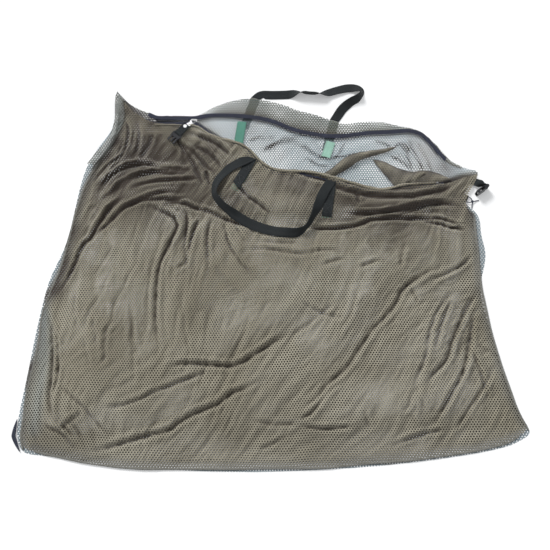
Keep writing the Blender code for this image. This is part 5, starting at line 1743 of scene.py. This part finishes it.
@dataclass
class Seams:
    """The sewn rolls along the sides and the bottom, with the dark binding of the lower left corner."""

    panels: Panels
    pitch: float = 0.0022
    lift: float = 0.0022
    sides: int = 10
    half_width: float = 0.0024
    half_height: float = 0.0015
    lump: float = 0.0045
    zigzag: Stitching = Stitching(0.0060, 0.0006, 0.0004)

    def roll(self, side: str, finish: Material) -> None:
        """Makes one roll with its overlocked thread.

        Args:
            side: left_side, bottom or right_side.
            finish: the binding material.
        """
        outer = self.panels.seam_lines()[side]
        line = self.panels.drawn_in(smooth(outer, max(int(length_of(outer) / self.pitch), 8)))
        heights = [self.panels.back_bed.level(x, y, 0.002) for x, y in line]
        even = np.convolve(np.pad(heights, 6, mode="edge"), np.ones(13) / 13, mode="valid")
        run = np.arange(len(line)) * self.pitch
        centre = np.column_stack([line, even + self.lift])
        aside = unit(np.column_stack([-np.gradient(line[:, 1]), np.gradient(line[:, 0])]))
        points, weave = [], []
        ring = np.linspace(0, 2 * math.pi, self.sides, endpoint=False)
        for k, (middle, way) in enumerate(zip(centre, aside)):
            swell = 1 + 0.18 * math.sin(2 * math.pi * run[k] / self.lump) + 0.2 * math.sin(run[k] * 31)
            for angle in ring:
                across = math.cos(angle) * self.half_width * swell
                up = math.sin(angle) * self.half_height * swell
                points.append((middle[0] + way[0] * across, middle[1] + way[1] * across, middle[2] + up))
                weave.append((run[k], across))
        faces = grid_faces(len(centre), len(ring), closed=True)
        last = len(points) - len(ring)
        faces += [tuple(range(len(ring)))[::-1], tuple(range(last, len(points)))]
        add_piece(f"{side}_seam_roll", np.array(points), faces, finish, "sack",
                  (f"{side}_seam",), np.array(weave))
        thread = []
        for k in range(0, len(centre), 2):
            swing = self.half_width * (0.8 if (k // 2) % 2 else -0.8)
            thread.append(centre[k] + np.array([*(aside[k] * swing), self.half_height * 0.95]))
        self.zigzag.piece(f"{side}_seam_thread", [thread], SEAM_THREAD.make(), "sack", "binding_teal")

    def build(self) -> None:
        """Makes the three rolls and the corner binding."""
        plain = BINDING.make()
        for side in SIDES:
            self.roll(side, plain)
        corner = Ribbon.on("corner_binding", 0.0026)
        corner.piece("corner_binding_tape", CORNER_WEAVE.make(), "sack", "binding_navy",
                     ("corner_binding",))


@dataclass
class Mouth:
    """Both turned lips: the loose double mesh behind the zip and the rolled collar in front of it."""

    panels: Panels
    hem_columns: int = 12
    hem_pitch: float = 0.0045
    hem_rise: float = 0.0012
    hem_wave: float = 0.0012
    hem_spring: float = 0.0010
    hem_floor: float = 0.0015
    hem_dark: float = 0.12
    hem_pale: float = 0.65
    tape_dark: float = 0.85
    tape_close: float = 0.55
    tape_reach: float = 0.38
    roll_sides: int = 15
    roll_close: float = 0.75
    roll_half_width: float = 0.0038
    roll_half_height: float = 0.0028
    roll_offsets: Rows = (
        (0.0, 0.0110), (0.16, 0.0105), (0.215, 0.0090), (0.26, 0.0010), (0.90, 0.0005), (1.0, 0.0020),
    )
    roll_swell: Rows = (
        (0.0, 0.35), (0.10, 0.55), (0.2, 0.8), (0.3, 1.0), (0.85, 1.1), (1.0, 0.5),
    )

    def back_hem(self) -> None:
        """The turned mesh beyond the back zip tape, with painted shade beside the tape."""
        rails = Rails.of("back_hem")
        middles, halves, _ = rails.spread(self.hem_pitch)
        points, dark, close = [], [], []
        for k, (middle, half) in enumerate(zip(middles, halves)):
            for t in np.linspace(-1, 1, self.hem_columns):
                spot = middle + half * t
                outward = (1 - t) / 2
                level = self.panels.back_bed.level(spot[0], spot[1], spot[2])
                wave = self.hem_wave * math.sin(k * 0.21) * math.sin(k * 0.083 + 2 * outward)
                height = level + self.hem_rise + wave + self.hem_spring * outward
                points.append((spot[0], spot[1], max(height, self.hem_floor)))
                # Painted shade, deepest beside the tape, with a little over all of the hem.
                beside = math.exp(-((outward / self.tape_reach) ** 2))
                dark.append(self.tape_dark * beside * (0.8 + 0.2 * math.sin(k * 0.13)) + self.hem_dark)
                close.append(self.tape_close * beside)
        count = len(middles)
        faces = grid_faces(count, self.hem_columns)
        hem = add_piece("back_hem_cloth", np.array(points), faces, HEM_MESH.make(), "sack",
                        ("back_hem",))
        paint(hem, fold=np.array(dark), pale=np.full(len(dark), self.hem_pale), close=np.array(close))

    def collar(self) -> None:
        """The rolled edge of the front lip, which hides the front tape beyond the slider."""
        teeth = Ribbon.on("front_zip_teeth", 0.0026, 0.0030)
        shares = teeth.shares()
        inward = unit(teeth.halves)
        offset = np.interp(shares, *zip(*self.roll_offsets))
        swell = np.interp(shares, *zip(*self.roll_swell))
        centre = teeth.middles + inward * offset[:, None]
        under = np.array([self.panels.front_bed.level(x, y, -1.0) for x, y in centre[:, :2]])
        lift = 0.0020 + self.roll_half_height * swell * 0.5
        on_panel = np.maximum(under, centre[:, 2]) + lift * 0.6
        centre[:, 2] = np.where(offset > 0.004, on_panel, centre[:, 2] + lift)
        even = np.ones(9) / 9
        centre[:, 2] = np.convolve(np.pad(centre[:, 2], 4, mode="edge"), even, mode="valid")
        points, dark = [], []
        ring = np.linspace(0, 2 * math.pi, self.roll_sides, endpoint=False)
        for k, middle in enumerate(centre):
            lump = 1 + 0.14 * math.sin(k * 0.47) + 0.10 * math.sin(k * 0.19 + 1)
            for angle in ring:
                across = math.cos(angle + 0.25 * math.sin(k * 0.11)) * self.roll_half_width * swell[k] * lump
                up = math.sin(angle) * self.roll_half_height * swell[k] * lump
                points.append(middle + inward[k] * across + np.array([0, 0, up]))
                # Painted light and shade on the roll: lighter on its top, darker underneath and on its
                # inward side.
                dark.append(0.35 - 0.3 * math.sin(angle) + 0.25 * max(math.cos(angle), 0))
        faces = tube_faces(len(centre), len(ring))
        roll = add_piece("front_hem_roll", np.array(points), faces, HEM_MESH.make(), "sack",
                         ("front_hem",))
        closed = np.full(len(dark), self.roll_close)
        paint(roll, fold=np.array(dark), pale=np.zeros(len(dark)), close=closed)

    def build(self) -> None:
        """Makes both lips."""
        self.back_hem()
        self.collar()


@dataclass
class Zip:
    """Two tapes with moulded teeth, the stops and the slider."""

    panels: Panels
    tape_thickness: float = 0.0008
    tooth_pitch: float = 0.0027
    tooth_half: float = 0.0009
    tooth_height: float = 0.0011
    head_reach: float = 0.0022
    stem_reach: float = 0.00125
    stitch_rows: Pair = (-0.45, 0.45)
    raised: Rows = (
        (0.0, 0.0), (0.06, 0.0), (0.09, 0.0010), (0.13, 0.0042), (0.20, 0.0040), (0.26, 0.0),
    )

    def tape(self, side: str, finish: Material) -> None:
        """Makes the tape of one side.

        Args:
            side: back or front.
            finish: the tape's material.
        """
        tape = Ribbon.on(f"{side}_zip_tape", self.tape_thickness, 0.0030)
        shares = tape.shares()
        if side == "front":
            tape.middles[:, 2] += np.interp(shares, *zip(*self.raised))
        else:
            tape.settle(self.panels.back_bed, 0.0022, 5)
        tape.piece(f"{side}_zip_tape_weave", finish, "sack", "tape_navy", (f"{side}_zip_tape",))
        places = np.linspace(0.01, 0.99, 500)
        lines = [[tape.spot(s, across, 0.0001) for s in places] for across in self.stitch_rows]
        STITCHING.piece(f"{side}_zip_stitches", lines, BLACK_THREAD.make(), "sack", "tape_navy")

    def teeth(self, side: str, finish: Material) -> None:
        """Makes one row of teeth, each with a stem on the tape and a wider head at the zip's middle.

        Args:
            side: back or front.
            finish: the teeth's material.
        """
        row = Ribbon.on(f"{side}_zip_teeth", 0.0022, 0.0030)
        shares = row.shares()
        to_middle, start = 1.0, 0.0
        if side == "front":
            row.middles[:, 2] += np.interp(shares, *zip(*self.raised))
            to_middle, start = -1.0, 0.5
        count = int(length_of(row.middles) / self.tooth_pitch)
        stem, head, reach = self.tooth_half * 0.7, self.tooth_half, self.head_reach
        half = [(stem, -self.stem_reach), (stem, reach * 0.45), (head, reach * 0.6), (head * 0.8, reach)]
        outline = [(-stem, -self.stem_reach), *half, *((-x, y) for x, y in half[:0:-1])]
        levels = ((-self.tooth_height, 0.85), (self.tooth_height * 0.6, 1.0), (self.tooth_height, 0.7))
        table = np.hstack([row.middles, row.halves, row.ups])
        points, faces = [], []
        for k in range(count):
            share = min((k + start + 0.25) / count, 1.0)
            at = np.array([np.interp(share, shares, table[:, c]) for c in range(9)])
            ahead = np.array([np.interp(min(share + 0.003, 1.0), shares, table[:, c]) for c in range(3)])
            behind = np.array([np.interp(share - 0.003, shares, table[:, c]) for c in range(3)])
            way, across, up = unit(ahead - behind), unit(at[3:6]) * to_middle, at[6:]
            first = len(points)
            for height, shrink in levels:
                points += [at[:3] + way * x * shrink + across * y * (shrink if y > 0 else 1) + up * height
                           for x, y in outline]
            corners = len(outline)
            top = first + 2 * corners
            faces += grid_faces(len(levels), corners, first, closed=True)
            faces += [tuple(range(first, first + corners))[::-1], tuple(range(top, top + corners))]
        add_piece(f"{side}_zip_tooth_row", np.array(points), faces, finish, "sack",
                  (f"{side}_zip_teeth",))

    def build(self) -> None:
        """Makes tapes and teeth, and finishes the metal pieces of the construction."""
        weave, resin = ZIP_WEAVE.make(), TOOTH_RESIN.make()
        for side in ("back", "front"):
            self.tape(side, weave)
            self.teeth(side, resin)
        metal = SLIDER_METAL.make()
        for node in ("zip_left_stop", "back_zip_stop", "front_zip_stop", "zip_slider"):
            refinish(node, metal)


def refinish(node: str, finish: Material) -> None:
    """Gives a construction piece that stays visible its real finish.

    Args:
        node: the piece's name.
        finish: the material.
    """
    piece = frame["nodes"][node]
    for index in range(len(piece.material_slots)):
        piece.material_slots[index].material = finish
    if not piece.material_slots:
        piece.data.materials.append(finish)
    log.info("%s: kept from the construction", node)


# Webbing, clip and cord


@dataclass(frozen=True)
class FoldedStrap:
    """Webbing folded round a bar or on itself: runs out, turns, and comes back on top of itself.

    The profile holds (run, height) pairs in the strap's own plane; the strap may turn on edge.
    """

    profile: Rows
    origin: Vector
    forward: Vector
    across: Vector
    width: float
    turn: Triple = (0.0, 1.0, 0.0)
    rise: float = 0.0
    thickness: float = 0.0015

    def frame_at(self, run: float) -> tuple[Vector, Vector, Vector]:
        """The strap's own axes at a place.

        Args:
            run: distance along the strap.

        Returns:
            The middle point, the width direction and the thickness direction.
        """
        start, end, degrees = self.turn
        part = float(ease((run - start) / (end - start)))
        tilt = math.radians(degrees * part)
        up = self.forward.cross(self.across)
        if up.z < 0:
            up = -up
        lifted = self.rise * float(ease(run / end))
        middle = self.origin + self.forward * run + Vector((0, 0, lifted))
        wide = self.across * math.cos(tilt) + up * math.sin(tilt)
        through = up * math.cos(tilt) - self.across * math.sin(tilt)
        return middle, wide, through

    def ribbon(self) -> Ribbon:
        """Bends a ribbon along the folded profile.

        Returns:
            The ribbon.
        """
        curve = smooth(np.array(self.profile), 90)
        spots, halves = [], []
        for run, height in curve:
            middle, wide, through = self.frame_at(run)
            spots.append(np.array(middle + through * height))
            halves.append(np.array(wide) * self.width / 2)
        spots, halves = np.array(spots), np.array(halves)
        ways = unit(np.gradient(spots, axis=0))
        ups = unit(np.cross(halves, ways))
        if ups[0][2] > 0:
            ups = -ups
        return Ribbon(spots, halves, ups, self.thickness)


def bar_profile(length: float, tail: float, layer: float, loop: float) -> Rows:
    """Side view of webbing that runs round a bar.

    Args:
        length: distance to the bar.
        tail: how far both layers reach behind the start.
        layer: half the distance between the layers' middles.
        loop: radius of the turn round the bar.

    Returns:
        (run, height) pairs.
    """
    half = [(-tail, layer), (0.0, layer), (length - 0.009, layer), (length - 0.005, layer + 0.0003),
            (length - 0.0022, loop * 0.86), (length, loop), (length + loop * 0.7, loop * 0.7),
            (length + loop, 0.0)]
    return tuple((x, -z) for x, z in half) + tuple(half[-2::-1])


def joint(name: str) -> dict:
    """The construction's joint of that name."""
    return next(j for j in frame["joints"] if j["name"] == name)


@dataclass
class PullAndClip:
    """Pull, rivet, short strap and the pronged half of the clip, hung from the slider."""

    strap_length: float = 0.028
    strap_tail: float = 0.007
    strap_width: float = 0.020
    layer: float = 0.00086
    loop: float = 0.0027
    web_start: float = 0.0064
    web_end: float = 0.0108
    ring_radius: float = 0.0054
    web_half_height: float = 0.0007
    web_rows: int = 9
    web_columns: int = 5
    stitched: Pair = (0.68, 0.80)

    def web(self, pivot: Vector, forward: Vector, across: Vector) -> None:
        """Makes the solid metal that closes the far half of the pull's ring.

        Args:
            pivot: where the ring hangs in the slider's crown.
            forward: the direction from there to the rivet.
            across: the pull's width direction.
        """
        up = forward.cross(across)
        rows, columns = self.web_rows, self.web_columns
        levels = ((-1.0, 0.92), (-0.6, 1.0), (0.6, 1.0), (1.0, 0.92))
        points = []
        for level, shrink in levels:
            middle = pivot + up * (self.web_half_height * level)
            for run in np.linspace(self.web_start, self.web_end, rows):
                half = shrink * math.sqrt(max(self.ring_radius**2 - (run - self.ring_radius) ** 2, 1e-8))
                for side in np.linspace(-1, 1, columns):
                    points.append(tuple(middle + forward * run + across * (half * side)))
        layer = np.arange(rows * columns).reshape(rows, columns)
        rim = np.concatenate([layer[0, :], layer[1:, -1], layer[-1, -2::-1], layer[-2:0:-1, 0]])
        faces = [face[::-1] for face in grid_faces(rows, columns)]
        faces += grid_faces(rows, columns, layer.size * (len(levels) - 1))
        for k in range(len(levels) - 1):
            low = (rim + layer.size * k).tolist()
            high = (rim + layer.size * (k + 1)).tolist()
            faces += zip(low, low[1:] + low[:1], high[1:] + high[:1], high)
        add_piece("zip_pull_web", np.array(points), faces, BRIGHT_METAL.make(), "pull")

    def build(self) -> None:
        """Makes the strap and finishes the metal and the moulding."""
        bar = Vector(joint("male_buckle_turn")["pos_m"])
        rivet = Vector(joint("strap_swivel")["pos_m"])
        normal = Vector(joint("strap_swivel")["axis"]).normalized()
        across = Vector(joint("male_buckle_turn")["axis"]).normalized()
        forward = across.cross(normal).normalized()
        if forward.dot(bar - rivet) < 0:
            forward = -forward
        profile = bar_profile(self.strap_length, self.strap_tail, self.layer, self.loop)
        strap = FoldedStrap(profile, bar - forward * self.strap_length, forward, across, self.strap_width)
        ribbon = strap.ribbon()
        ribbon.piece("clip_strap_webbing", CLIP_WEBBING.make(), "strap", "webbing_black", ("clip_strap",))
        lines = STITCHING.box(ribbon, *self.stitched)
        STITCHING.piece("clip_strap_stitches", lines, BLACK_THREAD.make(), "strap", "webbing_black")
        pivot = Vector(joint("pull_swing")["pos_m"])
        swing = Vector(joint("pull_swing")["axis"]).normalized()
        self.web(pivot, (rivet - pivot).normalized(), swing)
        refinish("zip_pull", BRIGHT_METAL.make())
        refinish("clip_rivet", BRIGHT_METAL.make())
        refinish("male_buckle", MOULDED.make())


@dataclass
class SocketClip:
    """The socket half of the clip on its webbing at the right end of the mouth."""

    heading: float = -28.0
    length: float = 0.036
    root: float = 0.009
    width: float = 0.020
    root_level: float = 0.0058
    layer: float = 0.00086
    loop: float = 0.0027
    turn_start: float = 0.008
    turned: float = 0.027
    on_edge: float = 90.0

    def build(self) -> None:
        """Makes the webbing, which turns on edge, and finishes the socket."""
        bar = Vector(joint("female_buckle_turn")["pos_m"])
        forward, across = plan_axes(self.heading)
        origin = bar - forward * self.length
        origin.z = self.root_level
        profile = bar_profile(self.length, self.root, self.layer, self.loop)
        turn = (self.turn_start, self.turned, self.on_edge)
        strap = FoldedStrap(profile, origin, forward, across, self.width, turn, bar.z - self.root_level)
        ribbon = strap.ribbon()
        ribbon.piece("right_clip_webbing", CLIP_WEBBING.make(), "sack", "webbing_black",
                     ("right_clip_strap",))
        refinish("female_buckle", MOULDED.make())


@dataclass
class TieTab:
    """Folded tab at the right seam with a thin cord tied through it."""

    heading: float = -25.0
    length: float = 0.012
    root: float = 0.010
    width: float = 0.020
    layer: float = 0.0008
    cord_diameter: float = 0.0025
    knot_distance: float = 0.014
    knot_height: float = 0.0041
    knot_size: float = 0.00088
    tails: Rows = ((0.018, 14.0), (0.018, -95.0))

    def cord(self, name: str, route: Array) -> bpy.types.Object:
        """Args:
            name: the cord's name, which is its node's name with _braid.
            route: the points that it passes.

        Returns:
            The cord's object.
        """
        line = smooth(route, 26)
        data = bpy.data.curves.new(f"{name}_braid", "CURVE")
        data.dimensions = "3D"
        data.bevel_depth = self.cord_diameter / 2
        data.bevel_resolution = 4
        data.use_fill_caps = True
        spline = data.splines.new("POLY")
        spline.points.add(len(line) - 1)
        for point, spot in zip(spline.points, line):
            point.co = (*spot, 1.0)
        data.materials.append(CORD_BRAID.make())
        cord = bpy.data.objects.new(f"{name}_braid", data)
        bpy.context.scene.collection.objects.link(cord)
        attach(cord, "sack")
        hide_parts(name)
        log.info("%s_braid: %.3f m of cord", name, length_of(line))
        return cord

    def knot(self, centre: Vector) -> bpy.types.Object:
        """Makes the knot as one tube that crosses itself three times.

        Args:
            centre: the knot's middle.

        Returns:
            The knot's object.
        """
        count, sides = 72, 8
        turns = np.linspace(0, 2 * math.pi, count, endpoint=False)
        line = np.column_stack([
            np.sin(turns) + 2 * np.sin(2 * turns), np.cos(turns) - 2 * np.cos(2 * turns),
            -1.35 * np.sin(3 * turns),
        ]) * self.knot_size + np.array(centre)
        ways = unit(np.roll(line, -1, axis=0) - np.roll(line, 1, axis=0))
        aside = unit(np.cross(ways, (0.0, 0.0, 1.0)))
        over = np.cross(aside, ways)
        points = []
        for spot, a, b in zip(line, aside, over):
            for angle in np.linspace(0, 2 * math.pi, sides, endpoint=False):
                points.append(spot + (a * math.cos(angle) + b * math.sin(angle)) * self.cord_diameter * 0.46)
        faces = grid_faces(count, sides, closed=True)
        last = (count - 1) * sides
        faces += [(last + j, last + (j + 1) % sides, (j + 1) % sides, j) for j in range(sides)]
        return add_piece("tie_knot_braid", np.array(points), faces, CORD_BRAID.make(), "sack",
                         ("tie_knot",))

    def build(self) -> None:
        """Makes the tab, both strands and the knot."""
        low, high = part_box("side_tab")
        forward, across = plan_axes(self.heading)
        origin = (low + high) / 2 - forward * (self.length - self.root) / 2
        half = [(-self.root, self.layer), (0.0, self.layer), (self.length - 0.005, 0.00082),
                (self.length - 0.0025, 0.0011), (self.length - 0.0006, self.layer), (self.length, 0.0)]
        profile = tuple((x, -z) for x, z in half) + tuple(half[-2::-1])
        ribbon = FoldedStrap(profile, origin, forward, across, self.width).ribbon()
        ribbon.piece("side_tab_webbing", CLIP_WEBBING.make(), "sack", "webbing_black", ("side_tab",))
        centre = origin + forward * (self.length + self.knot_distance)
        centre.z = self.knot_height
        knot = self.knot(centre)
        radius = self.cord_diameter / 2
        for name, sign, (tail, turn) in zip(("tie_cord", "tie_cord_return"), (1, -1), self.tails):
            leave = origin + forward * (self.length + radius) + across * (sign * self.width * 0.38)
            bend = leave.lerp(centre, 0.5) + across * (sign * 0.0022) + Vector((0, 0, 0.0006))
            way = plan_axes(turn)[0]
            inside = centre + way * 0.002
            end = centre + way * tail
            end.z = radius + 0.0003
            halfway = inside.lerp(end, 0.55)
            halfway.z = radius + 0.0009
            route = np.array([leave, bend, inside, halfway, end])
            cord = self.cord(name, route)


@dataclass(frozen=True)
class LoopRoute:
    """Where a handle's loop runs, in shares of the sack's half width and depth, and how it twists."""

    places: Rows
    twists: Rows
    scale: Pair = (0.61, 0.985)
    shift: Pair = (0.006956, -0.504803)
    pitch: float = 0.0025
    hinge_blend: float = 0.035

    def ribbon(self, ends: Rows, width: float, thickness: float) -> Ribbon:
        """The loop at ground level.

        Args:
            ends: plan points of the two hinges.
            width: width of the webbing.
            thickness: thickness of the webbing.

        Returns:
            The loop, with its lower edge on the ground.
        """
        route = [np.array(place) * self.scale + self.shift for place in self.places]
        route = [np.array(ends[0]), *route, np.array(ends[1])]
        line = smooth(np.array(route), int(length_of(np.array(route)) / self.pitch))
        shares = np.linspace(0, 1, len(line))
        axis = unit(route[-1] - route[0])
        way = np.gradient(line, axis=0)
        aside = unit(np.column_stack([way[:, 1], -way[:, 0]]))
        blend = self.hinge_blend / length_of(line)
        for start in (True, False):
            part = 1 - ease((shares if start else 1 - shares) / blend)
            aim = axis * (1.0 if aside[0 if start else -1] @ axis > 0 else -1.0)
            aside = unit(aside * (1 - part)[:, None] + aim * part[:, None])
        twist = np.radians(smooth_table(self.twists, shares))
        halves = np.column_stack([aside * np.cos(twist)[:, None], np.sin(twist)]) * width / 2
        ups = np.column_stack([-aside * np.sin(twist)[:, None], np.cos(twist)])
        heights = np.abs(halves[:, 2]) + thickness / 2 * np.cos(twist)
        return Ribbon(np.column_stack([line, heights]), halves, ups, thickness)


@dataclass
class Handles:
    """Both carrying handles: sewn legs, loops and the green tapes behind them."""

    panels: Panels
    width: float = 0.025
    thickness: float = 0.0016
    backing_thickness: float = 0.0008
    leg_boxes: Rows = ((0.60, 0.90), (0.10, 0.34))
    front_tops: Rows = ((-0.05160, 0.27532), (0.14848, 0.20834))
    back_creases: Rows = ((-0.04452, 0.46266), (0.16303, 0.39812))
    front_route: LoopRoute = LoopRoute(
        (
            (-0.122, 0.786), (-0.155, 0.777), (-0.189, 0.766), (-0.216, 0.750), (-0.238, 0.731),
            (-0.250, 0.708), (-0.246, 0.684), (-0.203, 0.653), (-0.118, 0.618), (-0.035, 0.596),
            (0.048, 0.585), (0.100, 0.587), (0.136, 0.607), (0.170, 0.648), (0.200, 0.693),
        ),
        (
            (0.00, 0.0), (0.10, -12.0), (0.18, -30.0), (0.28, -60.0), (0.35, -55.0), (0.43, -12.0),
            (0.60, 0.0), (0.69, -35.0), (0.75, -76.0), (0.80, -66.0), (0.88, -25.0), (0.95, 0.0),
            (1.00, 0.0),
        ),
    )
    back_route: LoopRoute = LoopRoute(
        (
            (-0.060, 0.992), (-0.010, 0.992), (0.049, 0.993), (0.102, 0.996), (0.155, 0.992),
            (0.209, 0.993), (0.271, 1.005), (0.320, 1.012), (0.360, 1.009), (0.376, 0.994), (0.360, 0.979),
            (0.327, 0.967), (0.292, 0.949),
        ),
        (
            (0.00, 0.0), (0.22, 0.0), (0.34, 80.0), (0.39, 80.0), (0.50, 15.0), (0.64, 5.0), (0.70, 25.0),
            (0.745, 70.0), (0.80, 50.0), (0.90, 20.0), (0.97, 0.0), (1.00, 0.0),
        ),
    )

    def front(self, finish: Material) -> None:
        """The legs sewn on the front panel and the loop that lies over them.

        Args:
            finish: the webbing's material.
        """
        legs = []
        for side in ("left", "right"):
            leg = Ribbon.on(f"front_handle_{side}_leg", self.thickness)
            leg.settle(self.panels.front_bed, 0.0004, 5)
            leg.piece(f"front_handle_{side}_leg_webbing", finish, "sack", "webbing_black",
                      (f"front_handle_{side}_leg",))
            lines = [line for ends in self.leg_boxes for line in STITCHING.box(leg, *ends)]
            STITCHING.piece(f"front_handle_{side}_stitches", lines, BLACK_THREAD.make(), "sack",
                            "webbing_black")
            legs.append(leg)
        loop = self.front_route.ribbon(self.front_tops, self.width, self.thickness)
        loop.rest([self.panels.front_bed, *(leg.bed() for leg in legs)])
        loop.piece("front_handle_loop_webbing", finish, "front_handle", "webbing_black",
                   ("front_handle_loop",))

    def back(self, finish: Material) -> None:
        """The legs sewn under the back hem, which look olive through it, and the loop beyond it.

        Args:
            finish: the loop's material.
        """
        hemmed = HEM_WEBBING.make()
        for side in ("left", "right"):
            leg = Ribbon.on(f"back_handle_{side}_leg", self.thickness)
            leg.piece(f"back_handle_{side}_leg_webbing", hemmed, "sack", "webbing_black",
                      (f"back_handle_{side}_leg",))
        loop = self.back_route.ribbon(self.back_creases, self.width, self.thickness)
        loop.rest([])
        loop.piece("back_handle_loop_webbing", finish, "back_handle", "webbing_black",
                   ("back_handle_loop",))

    def backings(self) -> None:
        """The green tapes inside both panels."""
        for side, weave in (("left", LEFT_GREEN), ("right", RIGHT_GREEN)):
            finish = weave.make()
            inner = Ribbon.on(f"back_{side}_tape", self.backing_thickness)
            inner.settle(self.panels.back_bed, 0.0004, 3)
            inner.piece(f"back_{side}_tape_weave", finish, "sack", "backing_green", (f"back_{side}_tape",))
            places = np.linspace(0.04, 0.96, 30)
            lines = [[inner.spot(s, across, 0.0001) for s in places] for across in (-0.85, 0.85)]
            STITCHING.piece(f"back_{side}_tape_stitches", lines, BLACK_THREAD.make(), "sack",
                            "backing_green")
            hung = Ribbon.on(f"front_{side}_tape", self.backing_thickness)
            hung.settle(self.panels.front_bed, 0.0006, 3, below=True, deepest=-0.004)
            hung.piece(f"front_{side}_tape_weave", finish, "sack", "backing_green",
                       (f"front_{side}_tape",))

    def build(self) -> None:
        """Makes both handles and their backing tapes."""
        finish = WEBBING.make()
        self.front(finish)
        self.back(finish)
        self.backings()


# Studio


@dataclass
class Studio:
    """Pale floor, even sky and one soft lamp behind the mouth, to the left."""

    floor_size: float = 8.0
    floor_tone: float = 0.86
    floor_glow: float = 0.22
    sky: float = 0.50
    lamp: float = 2.5
    lamp_from: Triple = (-0.55, 0.75, 0.80)
    lamp_width: float = 0.35

    def floor(self) -> None:
        """A white floor that keeps the sack's shadow and reads as white to the camera."""
        graph = Graph("studio_floor")
        tone = (self.floor_tone,) * 3
        paper = graph.add("BsdfDiffuse", {"Color": tone}).outputs[0]
        path = graph.add("LightPath")
        bounced = graph.calc("MAXIMUM", path.outputs["Is Camera Ray"], path.outputs["Is Glossy Ray"])
        seen = graph.calc("MAXIMUM", bounced, path.outputs["Is Transmission Ray"])
        strength = graph.calc("MULTIPLY", seen, self.floor_glow)
        glow = graph.add("Emission", {"Color": (1.0, 1.0, 1.0), "Strength": strength})
        material = graph.close(graph.add("AddShader", {0: paper, 1: glow.outputs[0]}).outputs[0])
        half = self.floor_size / 2
        corners = [(-half, -half, 0), (half, -half, 0), (half, half, 0), (-half, half, 0)]
        mesh = bpy.data.meshes.new("studio_floor")
        mesh.from_pydata(corners, [], [(0, 1, 2, 3)])
        mesh.materials.append(material)
        floor = bpy.data.objects.new("studio_floor", mesh)
        bpy.context.scene.collection.objects.link(floor)

    def lights(self) -> None:
        """The sky and the lamp."""
        scene = bpy.context.scene
        world = bpy.data.worlds.new("studio_sky")
        world.use_nodes = True
        tree = world.node_tree
        tree.nodes.clear()
        plain = tree.nodes.new("ShaderNodeBackground")
        plain.inputs["Color"].default_value = (0.96, 0.98, 1.0, 1.0)
        plain.inputs["Strength"].default_value = self.sky
        white = tree.nodes.new("ShaderNodeBackground")
        white.inputs["Color"].default_value = (1.0, 1.0, 1.0, 1.0)
        path = tree.nodes.new("ShaderNodeLightPath")
        mix = tree.nodes.new("ShaderNodeMixShader")
        output = tree.nodes.new("ShaderNodeOutputWorld")
        tree.links.new(path.outputs["Is Camera Ray"], mix.inputs[0])
        tree.links.new(plain.outputs[0], mix.inputs[1])
        tree.links.new(white.outputs[0], mix.inputs[2])
        tree.links.new(mix.outputs[0], output.inputs["Surface"])
        scene.world = world
        data = bpy.data.lights.new("studio_lamp", "SUN")
        data.energy = self.lamp
        data.angle = self.lamp_width
        lamp = bpy.data.objects.new("studio_lamp", data)
        lamp.rotation_euler = Vector(self.lamp_from).to_track_quat("Z", "Y").to_euler()
        scene.collection.objects.link(lamp)
        scene.view_settings.view_transform = "Standard"

    def build(self) -> None:
        """Makes the floor and the lights."""
        self.floor()
        self.lights()


def main() -> None:
    """Builds the dressed sack round the construction, and the studio."""
    logging.basicConfig(level=logging.INFO, format="%(message)s")
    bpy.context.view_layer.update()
    VIEW.make()
    TieTab().build()
    panels = Panels()
    panels.build()
    Seams(panels).build()
    Mouth(panels).build()
    Zip(panels).build()
    PullAndClip().build()
    SocketClip().build()
    Handles(panels).build()
    Studio().build()


if __name__ == "__main__":
    main()
